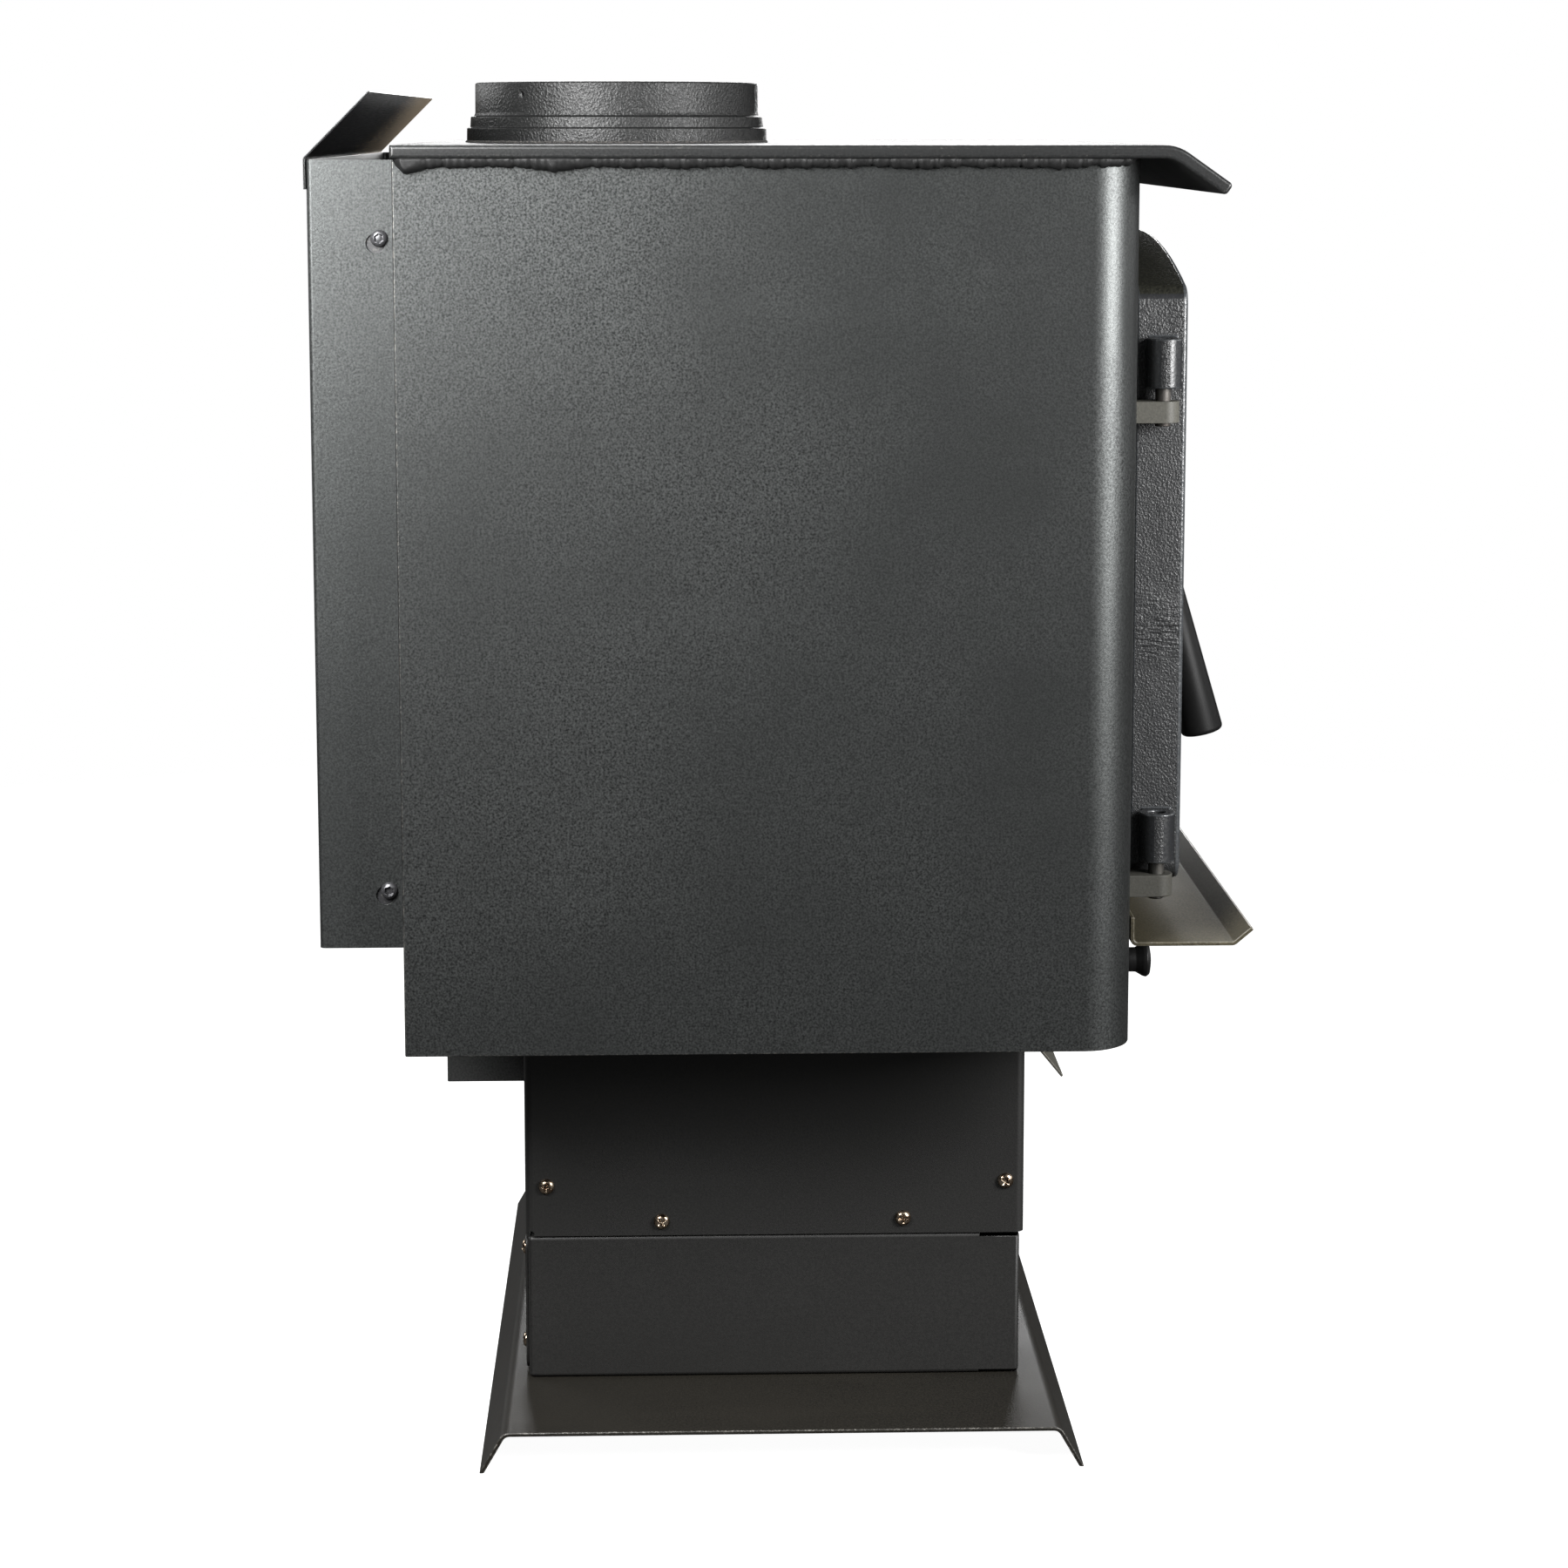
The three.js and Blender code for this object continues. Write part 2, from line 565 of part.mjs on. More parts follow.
// The foot's front and rear edges are folded down and cut level where they meet the floor.
function footPlate() {
  const middle = foot.top - foot.sheet / 2;
  const slopeBelow = ([top, tip]) => [top + ((tip - top) * (middle + 10)) / middle, -10];
  const path = [slopeBelow(foot.rear), [foot.rear[0], middle], [foot.front[0], middle], slopeBelow(foot.front)];
  const sheet = along(bentSheet(path, foot.sheet, 7, 5), -foot.half, foot.half);
  const under = block([-foot.half - 1, foot.front[1] - 20, -30], [foot.half + 1, foot.rear[1] + 20, 0]);
  return mesh("foot_plate", cut(sheet, under), paintedSteel);
}

// A sheet box behind the pedestal takes outside air by its round port and feeds the firebox floor.
function airIntakeBox() {
  const { half, low, rear, sheet, spigot } = intake;
  const front = pedestal.rear + GAP;
  const shell = block([-half, front, low], [half, rear, floor.low - GAP]);
  const hollow = block([sheet - half, front + sheet, low + sheet], [half - sheet, rear - sheet, floor.low + 1]);
  const port = rod("y", [0, low + 43], spigot, rear - 5, rear + 1, 32);
  const feed = block([-60, front - 1, 330], [60, front + 5, 365]);
  return mesh("air_intake_box", cut(shell, hollow, port, feed), rawSteel);
}

// ---------------------------------------------------------------- ash drawer

function drawerSupport() {
  const outer = pedestal.half - pedestal.sheet - 2;
  const low = drawerBay.low;
  const path = [[-outer, low + 40], [-outer, low], [outer, low], [outer, low + 40]];
  const [front, rear] = [pedestal.front + pedestal.corner, pedestal.rear - pedestal.corner];
  return mesh("drawer_support", facing(bentSheet(path, 2, 3, 3), front, rear), rawSteel);
}

function ashPan() {
  const front = drawer.front + 1 + GAP;
  const low = drawerBay.low + 1 + GAP;
  const [half, rear, rim] = [drawer.pan, front + drawer.depth, drawerBay.high - 8];
  const shell = block([-half, front, low], [half, rear, rim]);
  const hollow = block([2 - half, front + 2, low + 2], [half - 2, rear - 2, rim + 1]);
  return mesh("ash_pan", cut(shell, hollow), rawSteel);
}

// The front's top edge is bent over and down into a lip to pull the drawer by.
function drawerFront() {
  const path = [[drawer.front, drawer.low], [drawer.front, drawer.top], drawer.lip];
  return mesh("drawer_front", along(bentSheet(path, 2, 4, 6), -drawer.half, drawer.half), paintedSteel);
}

// ---------------------------------------------------------------- the stove

const assembly = group(
  sidePanel("left_side_panel", -1), sidePanel("right_side_panel", 1),
  frontPlate(), rearPlate(), fireboxFloor(), cooktopPlate(), flueCollar(),
  ...floorBricks(), ...wallBricks(),
  airChannel("air_channel_left", -1), airChannel("air_channel_right", 1), ...airTubes(),
  baffleBoard(), airWashPlate(), logRetainer(), latchStriker(), ashShelf(), ...hingeParts(),
  rearShield(), shieldDeflector(), shieldRail("shield_rail_left", -1), shieldRail("shield_rail_right", 1),
  ...shieldScrews(),
  airIntakeBox(), drawerSupport(), pedestalWrap(), pedestalBase(), ...pedestalScrewSet(), footPlate(),
  group(...doorParts(), group(latchShaft(), handleGrip())),
  group(airRod(), airKnob()),
  group(ashPan(), drawerFront()),
  group(ashPlug()),
);

// The stove's origin is on the floor under the middle of its length.
const reach = new THREE.Box3().setFromObject(assembly);
assembly.position.y = -(reach.min.y + reach.max.y) / 2;

const stove = group(assembly);
stove.name = "wood_burning_stove";
export default stove;
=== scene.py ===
import json
from math import radians

import bmesh
import bpy
import numpy as np
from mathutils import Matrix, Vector

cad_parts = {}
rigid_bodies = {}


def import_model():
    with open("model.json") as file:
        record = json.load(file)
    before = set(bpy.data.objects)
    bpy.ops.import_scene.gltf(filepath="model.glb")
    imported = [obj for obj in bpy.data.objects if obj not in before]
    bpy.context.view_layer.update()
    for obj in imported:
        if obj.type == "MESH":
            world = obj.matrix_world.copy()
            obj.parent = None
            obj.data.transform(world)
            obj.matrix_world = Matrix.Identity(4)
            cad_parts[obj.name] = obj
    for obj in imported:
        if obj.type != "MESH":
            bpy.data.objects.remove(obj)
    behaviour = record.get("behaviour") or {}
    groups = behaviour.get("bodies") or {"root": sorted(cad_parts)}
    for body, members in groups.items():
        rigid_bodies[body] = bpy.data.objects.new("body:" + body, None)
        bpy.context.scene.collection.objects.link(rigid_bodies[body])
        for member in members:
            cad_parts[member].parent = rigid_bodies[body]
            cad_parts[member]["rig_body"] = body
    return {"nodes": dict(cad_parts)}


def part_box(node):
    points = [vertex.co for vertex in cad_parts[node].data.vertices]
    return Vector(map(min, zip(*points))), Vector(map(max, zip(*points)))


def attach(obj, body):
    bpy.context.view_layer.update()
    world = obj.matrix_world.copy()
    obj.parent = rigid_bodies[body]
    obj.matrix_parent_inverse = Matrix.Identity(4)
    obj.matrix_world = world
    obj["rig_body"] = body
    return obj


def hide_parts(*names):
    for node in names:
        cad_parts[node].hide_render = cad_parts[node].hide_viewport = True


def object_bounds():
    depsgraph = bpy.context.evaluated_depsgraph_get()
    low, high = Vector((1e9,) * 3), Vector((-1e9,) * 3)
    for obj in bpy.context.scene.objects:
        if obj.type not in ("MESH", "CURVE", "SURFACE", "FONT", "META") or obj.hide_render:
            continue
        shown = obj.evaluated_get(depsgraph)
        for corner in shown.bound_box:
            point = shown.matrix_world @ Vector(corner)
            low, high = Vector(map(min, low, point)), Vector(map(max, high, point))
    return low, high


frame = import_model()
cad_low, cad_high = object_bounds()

# ---------------------------------------------------------------- firebox shell
# Six-millimetre plate welded into a box: each side panel is bent once round the front corner. The shell is
# sprayed with charcoal stove paint, which dries satin with a fine even grain and rubs thin on cut edges.

MM = 0.001
render_levels = 2


def new_finish(name):
    """An empty material: its tree, its main shader and a place in metres on the object itself."""
    material = bpy.data.materials.new(name)
    material.use_nodes = True
    tree = material.node_tree
    shader = tree.nodes["Principled BSDF"]
    place = tree.nodes.new("ShaderNodeTexCoord").outputs["Object"]
    return material, tree, shader, place


def stretched(tree, place, scale, turn=(0, 0, 0)):
    """The place scaled along each axis after a turn, so that a pattern on it is drawn out."""
    mapping = tree.nodes.new("ShaderNodeMapping")
    tree.links.new(place, mapping.inputs["Vector"])
    mapping.inputs["Scale"].default_value = scale
    mapping.inputs["Rotation"].default_value = turn
    return mapping.outputs["Vector"]


def cloud(tree, place, scale, detail=2.0, rough=0.5):
    """Soft noise from 0 to 1 with this many patches to the metre."""
    noise = tree.nodes.new("ShaderNodeTexNoise")
    tree.links.new(place, noise.inputs["Vector"])
    noise.inputs["Scale"].default_value = scale
    noise.inputs["Detail"].default_value = detail
    noise.inputs["Roughness"].default_value = rough
    return noise.outputs["Fac"]


def between(tree, value, low, high, start=0.0, end=1.0):
    """The value from low to high carried on to start to end, and held at both."""
    carry = tree.nodes.new("ShaderNodeMapRange")
    tree.links.new(value, carry.inputs["Value"])
    carry.inputs["From Min"].default_value = low
    carry.inputs["From Max"].default_value = high
    carry.inputs["To Min"].default_value = start
    carry.inputs["To Max"].default_value = end
    return carry.outputs["Result"]


def combined(tree, operation, first, second):
    """Two values added, multiplied or otherwise combined; either may be a plain number."""
    maths = tree.nodes.new("ShaderNodeMath")
    maths.operation = operation
    for socket, value in zip(maths.inputs, (first, second)):
        if isinstance(value, (int, float)):
            socket.default_value = value
        else:
            tree.links.new(value, socket)
    return maths.outputs["Value"]


def blended(tree, share, first, second):
    """One colour over another by a share from 0 to 1; a colour is a node's output or a plain triple."""
    mix = tree.nodes.new("ShaderNodeMix")
    mix.data_type = "RGBA"
    for socket, value in zip((mix.inputs[key] for key in ("Factor", "A", "B")), (share, first, second)):
        if isinstance(value, tuple):
            socket.default_value = (*value, 1.0)
        elif isinstance(value, (int, float)):
            socket.default_value = value
        else:
            tree.links.new(value, socket)
    return mix.outputs["Result"]


def coat(tree, shader, colour, roughness, metal=0.0, shine=0.5):
    """Sets the shader: colour and roughness from a node or a plain number, metal and shine always plain."""
    for name, value in (("Base Color", colour), ("Roughness", roughness)):
        if isinstance(value, float):
            shader.inputs[name].default_value = value
        else:
            tree.links.new(value, shader.inputs[name])
    shader.inputs["Metallic"].default_value = metal
    shader.inputs["Specular IOR Level"].default_value = shine


def relief(tree, shader, *layers):
    """Bumps on bumps: each layer is a height pattern, its strength and its depth in metres."""
    below = None
    for height, strength, depth in layers:
        bump = tree.nodes.new("ShaderNodeBump")
        bump.inputs["Strength"].default_value = strength
        bump.inputs["Distance"].default_value = depth
        tree.links.new(height, bump.inputs["Height"])
        if below is not None:
            tree.links.new(below, bump.inputs["Normal"])
        below = bump.outputs["Normal"]
    tree.links.new(below, shader.inputs["Normal"])


def toned(tone, share):
    """A colour dimmed or lit by a share, with no channel past one."""
    return tuple(min(c * share, 1.0) for c in tone)


def stove_paint(name, tone, roughness=0.5, grain=0.6, smudge=0.16, rub=0.25, bare=0.0, flake=0.0, shine=0.5):
    """Satin paint: fine grain over wide smudges, a few rubbed places, and bare specks where it is thin.

    The tone is dimmed and lit by grain noise and by smudge noise; roughness follows the smudges. Flake is the
    share of metal pigment in it, and shine its specular level."""
    material, tree, shader, place = new_finish(name)
    fine = cloud(tree, place, 640, 2.0, 0.6)
    wide = cloud(tree, place, 4.5, 4.0, 0.55)
    rubbed = cloud(tree, stretched(tree, place, (5.0, 1.6, 8.0)), 2.6, 5.0, 0.6)
    colour = blended(tree, between(tree, fine, 0.3, 0.7), toned(tone, 1 - grain), toned(tone, 1 + grain))
    smudges = between(tree, wide, 0.38, 0.72, 0.0, 0.7)
    colour = blended(tree, smudges, colour, toned(tone, 1 + 2 * smudge))
    rub_share = between(tree, rubbed, 0.56, 0.80, 0.0, rub)
    colour = blended(tree, rub_share, colour, toned(tone, 1.9))
    if bare:
        specks = between(tree, cloud(tree, place, 420, 3.0, 0.7), 0.60 - 0.2 * bare, 0.72 - 0.1 * bare)
        colour = blended(tree, combined(tree, "MULTIPLY", specks, bare), colour, (0.22, 0.21, 0.19))
    coat(tree, shader, colour, between(tree, wide, 0.3, 0.7, roughness + 0.05, roughness - 0.05), flake, shine)
    relief(tree, shader, (cloud(tree, place, 230, 2.0), 0.06, 0.0003), (fine, 0.35, 0.0002))
    return material


def set_smooth(mesh, smooth=True):
    """Shades every face of a mesh smooth, or every face flat."""
    mesh.polygons.foreach_set("use_smooth", np.full(len(mesh.polygons), smooth, bool))


def keep_flats(piece, weight=80):
    """Shading that stays flat on the big faces, so that only their rounded edges turn."""
    normals = piece.modifiers.new("flat_faces", "WEIGHTED_NORMAL")
    normals.weight = weight


def finished(node, name, paint, edge_paint=None, edge=0.7, steps=render_levels, limit=38):
    """A CAD solid as it is, with its doubles merged, its flat faces joined and its sharp edges rounded.

    Every edge sharper than the limit in degrees gets an arc of the edge radius in millimetres."""
    mesh = frame["nodes"][node].data.copy()
    mesh.name = name
    shape = bmesh.new()
    shape.from_mesh(mesh)
    bmesh.ops.remove_doubles(shape, verts=shape.verts, dist=0.02 * MM)
    bmesh.ops.dissolve_limit(shape, angle_limit=radians(1), verts=shape.verts, edges=shape.edges)
    shape.to_mesh(mesh)
    shape.free()
    mesh.materials.clear()
    mesh.materials.append(paint)
    mesh.materials.append(edge_paint or paint)
    mesh.polygons.foreach_set("material_index", np.zeros(len(mesh.polygons), np.int32))
    set_smooth(mesh)
    piece = bpy.data.objects.new(name, mesh)
    bpy.context.scene.collection.objects.link(piece)
    if edge:
        bevel = piece.modifiers.new("rounded_edges", "BEVEL")
        bevel.width = edge * MM
        bevel.segments = steps
        bevel.limit_method = "ANGLE"
        bevel.angle_limit = radians(limit)
        bevel.material = 1
        keep_flats(piece)
    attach(piece, frame["nodes"][node]["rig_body"])
    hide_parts(node)
    return piece


charcoal = (0.0405, 0.0424, 0.0419)
body_paint = stove_paint("charcoal_body_paint", charcoal, 0.45, grain=0.72, smudge=0.09, rub=0.14, flake=0.88)
body_edge = stove_paint("charcoal_body_edge", charcoal, 0.42, rub=0.5, bare=0.6, flake=0.8)
for side in ("left", "right"):
    finished(f"{side}_side_panel", f"side_panel_{side}", body_paint, body_edge, 1.0)
finished("front_plate", "front_panel", body_paint, body_edge, 0.6)
finished("rear_plate", "rear_panel", body_paint, body_edge, 0.8)

mill_brown = (0.13, 0.112, 0.095)


def mill_steel(name, tone, roughness=0.45, along=(1, 1, 1), heat=0.35):
    """Bare rolled steel: drawn-out scratches, brown oxide patches and a bluish tinge where it was hot."""
    material, tree, shader, place = new_finish(name)
    drawn = cloud(tree, stretched(tree, place, along), 240, 3.0, 0.6)
    oxide = cloud(tree, place, 14, 5.0, 0.6)
    colour = blended(tree, between(tree, drawn, 0.3, 0.7), toned(tone, 0.7), toned(tone, 1.3))
    colour = blended(tree, between(tree, oxide, 0.45, 0.7, 0.0, heat), colour, (0.085, 0.05, 0.03))
    tinge = between(tree, cloud(tree, place, 5, 2.0), 0.5, 0.75, 0.0, heat * 0.6)
    colour = blended(tree, tinge, colour, (0.05, 0.06, 0.085))
    coat(tree, shader, colour, between(tree, oxide, 0.3, 0.7, roughness - 0.08, roughness + 0.15), 0.75)
    relief(tree, shader, (drawn, 0.3, 0.0002), (oxide, 0.2, 0.0006))
    return material


inner_steel = mill_steel("browned_mill_steel", mill_brown)
finished("firebox_floor", "firebox_floor_plate", inner_steel, edge=0.8)

# ---------------------------------------------------------------- cooktop
# One nine-millimetre plate, its front edge bent down into a lip. It sits on the shell and is held by a
# hand-run weld bead under each side, heavier where the welder stopped at the rear.

cooktop_tone = (0.0065, 0.0067, 0.0067)
cooktop_paint = stove_paint("cooktop_paint", cooktop_tone, 0.52, rub=0.35, shine=0.17)
cooktop_edge = stove_paint("cooktop_edge", toned(cooktop_tone, 1.3), 0.36, rub=0.7, bare=0.1, shine=0.4)
finished("cooktop_plate", "cooktop", cooktop_paint, cooktop_edge, 2.6, 3)


def closed_mesh(name, points, faces):
    """A mesh of points and faces with its doubles merged and every face turned outwards."""
    mesh = bpy.data.meshes.new(name)
    mesh.from_pydata(points.tolist(), [], faces)
    shape = bmesh.new()
    shape.from_mesh(mesh)
    bmesh.ops.remove_doubles(shape, verts=shape.verts, dist=0.001 * MM)
    bmesh.ops.recalc_face_normals(shape, faces=shape.faces)
    shape.to_mesh(mesh)
    shape.free()
    return mesh


def skin(name, grid, paint, body, along=False, replaces=(), smooth=True):
    """A grid of points, rows by columns, as a closed mesh: quads between rows, each row closed on itself,
    and the last row joined to the first where the shape closes along, or else flat ends."""
    rows, columns = grid.shape[:2]
    index = np.arange(rows * columns).reshape(rows, columns)
    if along:
        index = np.vstack([index, index[:1]])
    index = np.hstack([index, index[:, :1]])
    quads = np.stack([index[:-1, :-1], index[:-1, 1:], index[1:, 1:], index[1:, :-1]], -1).reshape(-1, 4)
    faces = quads.tolist()
    if not along:
        faces += [index[0, :-1][::-1].tolist(), index[-1, :-1].tolist()]
    mesh = closed_mesh(name, grid.reshape(-1, 3), faces)
    mesh.materials.append(paint)
    set_smooth(mesh, smooth)
    piece = bpy.data.objects.new(name, mesh)
    bpy.context.scene.collection.objects.link(piece)
    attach(piece, body)
    if replaces:
        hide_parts(*replaces)
    return piece


def ripple(where, longest, count, seed):
    """A smooth random line with a swing of about 1: sines with seeded starts added up, each shorter than
    the last."""
    draw = np.random.default_rng(seed)
    lengths = longest / np.power(1.7, np.arange(count))
    phases = draw.uniform(0, 2 * np.pi, count)
    sizes = draw.uniform(0.5, 1.0, count) / np.power(1.35, np.arange(count))
    waves = np.sin(2 * np.pi * where[:, None] / lengths + phases) * sizes
    return waves.sum(1) / sizes.sum()


weld_metal, tree, shader, place = new_finish("painted_weld_bead")
scale_marks = cloud(tree, place, 260, 4.0, 0.65)
bead_tone = blended(tree, scale_marks, (0.003, 0.003, 0.003), (0.011, 0.011, 0.011))
coat(tree, shader, bead_tone, between(tree, scale_marks, 0.3, 0.7, 0.42, 0.58), shine=0.16)
relief(tree, shader, (cloud(tree, place, 300, 3.0), 0.3, 0.0006))

panel_low, panel_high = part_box("left_side_panel")
top_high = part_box("cooktop_plate")[1]
corner_radius = 35 * MM
plate_thick = 9 * MM
bead_leg = 6.3 * MM
bead_overhang = 8.4 * MM
scale_pitch = 5.3 * MM
outer = abs(panel_low.x)
straight = np.linspace(panel_high.y - 1.0 * MM, panel_low.y + corner_radius, 760)
sweep = np.linspace(0, radians(58), 40)[1:]
run_y = np.concatenate([straight, straight[-1] - corner_radius * np.sin(sweep)])
run_x = np.concatenate([0 * straight + outer, outer - corner_radius * (1 - np.cos(sweep))])
out_x = np.concatenate([0 * straight + 1, np.cos(sweep)])
out_y = np.concatenate([0 * straight, -np.sin(sweep)])
run = np.cumsum(np.hypot(np.diff(run_x, prepend=run_x[0]), np.diff(run_y, prepend=run_y[0])))
swell_in = np.sin(np.clip(run / (13 * MM), 0.03, 1) * np.pi / 2) ** 0.55
fade_out = np.clip((run[-1] - run) / (18 * MM), 0.02, 1) ** 0.5
blob = 0.66 * np.exp(-(((run - 4 * MM) / (15 * MM)) ** 2))
blob += 0.36 * np.exp(-(((run - 113 * MM) / (12 * MM)) ** 2))
round_section = np.linspace(0, np.pi / 2, 12)
drag = 1.6 * MM * np.sin(2 * round_section)
scales = np.sin(2 * np.pi * (run[:, None] + drag) / scale_pitch) * np.sin(2 * round_section) ** 0.5
root = np.full((len(run), 1), -1.2 * MM)
for side, sign, seed in (("left", -1, 3), ("right", 1, 8)):
    lumps = 1 + 0.24 * ripple(run, 85 * MM, 5, seed) + 0.17 * ripple(run, 17 * MM, 3, seed + 1)
    leg = (bead_leg * (lumps + blob) * swell_in * fade_out)[:, None] * (1 + 0.016 * scales)
    reach = np.hstack([np.minimum(leg * np.cos(round_section) ** 0.85, bead_overhang), root])
    drop = np.hstack([leg * np.sin(round_section) ** 0.85, root])
    bead = np.stack([
        sign * (run_x[:, None] + out_x[:, None] * reach),
        run_y[:, None] + out_y[:, None] * reach,
        top_high.z - plate_thick - drop,
    ], -1)
    skin(f"cooktop_weld_{side}", bead, weld_metal, "stove_body")

# ---------------------------------------------------------------- flue collar
# A grey-iron casting that takes the flue pipe: a stepped ring with three screw holes under its rim, painted
# semi-gloss black over a pebbled skin. It is bedded on gritty cement where it meets the cooktop.


def cast_paint(name, tone, roughness, pebble, lump, drag=0.0, fineness=430, shine=0.5):
    """Black paint on a rough casting: pebbles a millimetre or so across on slow swells, with slanting
    drag marks of the mould where wanted; the paint is glossier on the high spots."""
    material, tree, shader, place = new_finish(name)
    pebbles = cloud(tree, place, fineness, 2.0, 0.5)
    swells = cloud(tree, place, 70, 3.0, 0.5)
    colour = blended(tree, between(tree, pebbles, 0.3, 0.7), toned(tone, 0.55), toned(tone, 1.5))
    gloss = between(tree, pebbles, 0.35, 0.7, roughness + 0.1, roughness - 0.07)
    coat(tree, shader, colour, gloss, shine=shine)
    layers = [(swells, lump, 0.004), (pebbles, pebble, 0.0012)]
    if drag:
        slanting = stretched(tree, place, (1.0, 1.0, 4.5), (radians(42), 0, 0))
        marks = cloud(tree, slanting, 95, 2.0)
        patches = between(tree, cloud(tree, place, 9, 2.0), 0.46, 0.62)
        layers.append((combined(tree, "MULTIPLY", marks, patches), drag, 0.0022))
    relief(tree, shader, *layers)
    return material


def rounded_line(corners, radii, steps=5, closed=False):
    """A line through corners, each an arc of its radius tangent to both legs; radius 0 keeps the corner.

    The arc's centre is on the corner's bisector, at the radius over the sine of half the corner's angle."""
    corners = np.asarray(corners, float)
    count = len(corners)
    radii = np.broadcast_to(np.asarray(radii, float), (count,))
    pieces = []
    for i, (corner, radius) in enumerate(zip(corners, radii)):
        if radius <= 0 or (not closed and i in (0, count - 1)):
            pieces.append(corner[None])
            continue
        back = corners[i - 1] - corner
        ahead = corners[(i + 1) % count] - corner
        back /= np.linalg.norm(back)
        ahead /= np.linalg.norm(ahead)
        half = np.arccos(np.clip(back @ ahead, -1, 1)) / 2
        bisector = (back + ahead) / np.linalg.norm(back + ahead)
        middle = corner + bisector * radius / np.sin(half)
        start = corner + back * radius / np.tan(half) - middle
        end = corner + ahead * radius / np.tan(half) - middle
        share = np.linspace(0, 1, steps + 1)[:, None]
        spread = np.pi - 2 * half
        arc = (start * np.sin((1 - share) * spread) + end * np.sin(share * spread)) / np.sin(spread)
        pieces.append(middle + arc)
    return np.vstack(pieces)


def full_turn(count):
    """Angles at equal steps, once round."""
    return np.linspace(0, 2 * np.pi, count, endpoint=False)


def turned(name, profile, middle, axis, paint, body, replaces, segments):
    """A round piece: a closed profile of distances from the axis and places along it, carried round.

    A point is the middle plus its place times the axis plus its distance times a turning unit vector."""
    axis = np.asarray(axis, float) / np.linalg.norm(axis)
    side = np.cross(axis, (0.0, 0.0, 1.0) if abs(axis[2]) < 0.9 else (0.0, 1.0, 0.0))
    side /= np.linalg.norm(side)
    angle = full_turn(segments)[:, None, None]
    ring = profile[None, :, 0, None] * (np.cos(angle) * side + np.sin(angle) * np.cross(axis, side))
    grid = np.asarray(middle, float) + ring + profile[None, :, 1, None] * axis
    return skin(name, grid, paint, body, along=True, replaces=replaces)


def cut_by(piece, name, points, faces):
    """Takes a closed shape out of a piece and keeps the result as the piece's own mesh."""
    tool = bpy.data.objects.new(name, closed_mesh(name, points, faces))
    bpy.context.scene.collection.objects.link(tool)
    cutting = piece.modifiers.new(name, "BOOLEAN")
    cutting.operation = "DIFFERENCE"
    cutting.solver = "EXACT"
    cutting.object = tool
    others = [m for m in piece.modifiers if m != cutting]
    for other in others:
        other.show_viewport = False
    seen = piece.evaluated_get(bpy.context.evaluated_depsgraph_get())
    kept = bpy.data.meshes.new_from_object(seen)
    for other in others:
        other.show_viewport = True
    piece.modifiers.remove(cutting)
    materials = list(piece.data.materials)
    piece.data = kept
    kept.materials.clear()
    for material in materials:
        kept.materials.append(material)
    kept.name = piece.name
    set_smooth(kept)
    bpy.data.objects.remove(tool)


def peg(outline, axis, start, end):
    """Points and faces of a straight peg: a closed outline carried from start to end along an axis."""
    axis = np.asarray(axis, float)
    points = np.vstack([outline + axis * start, outline + axis * end])
    count = len(outline)
    here = np.arange(count)
    after = np.roll(here, -1)
    faces = np.stack([here, after, after + count, here + count], -1).tolist()
    faces += [here[::-1].tolist(), (here + count).tolist()]
    return points, faces


collar_black = (0.0055, 0.0057, 0.0056)
collar_paint = cast_paint("collar_cast_paint", collar_black, 0.40, 0.62, 0.05, fineness=560, shine=0.34)
collar_low, collar_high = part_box("flue_collar")
collar_middle = ((collar_low.x + collar_high.x) / 2, (collar_low.y + collar_high.y) / 2, collar_low.z)
collar_profile = rounded_line(
    np.array([[101.5, 0.2], [114.8, 0.2], [114.6, 10.4], [112.1, 11.2], [111.6, 18.9], [108.9, 19.9],
              [108.2, 22.0], [108.0, 44.7], [101.5, 44.7]]) * MM,
    np.array([0.6, 0.8, 0.9, 0.6, 0.9, 0.7, 1.8, 1.6, 1.2]) * MM, 5, closed=True)
collar = turned("flue_collar_casting", collar_profile, collar_middle, (0, 0, 1), collar_paint, "stove_body",
                ("flue_collar",), 128)
hole_angle = full_turn(20)[:, None]
hole_radius = 2.3 * MM * (1 + 0.35 * np.clip(-np.sin(hole_angle), 0, 1) ** 2)
hole_height = np.array([0, 0, 35.7 * MM])
for i, degrees in enumerate((140, 260, 20)):
    outward = np.array([np.cos(radians(degrees)), np.sin(radians(degrees)), 0])
    across = np.array([-outward[1], outward[0], 0])
    ring = hole_radius * (np.cos(hole_angle) * across + np.sin(hole_angle) * [0, 0, 1])
    cut_by(collar, f"collar_hole_{i}", *peg(collar_middle + hole_height + ring, outward, 95 * MM, 120 * MM))
keep_flats(collar, 60)

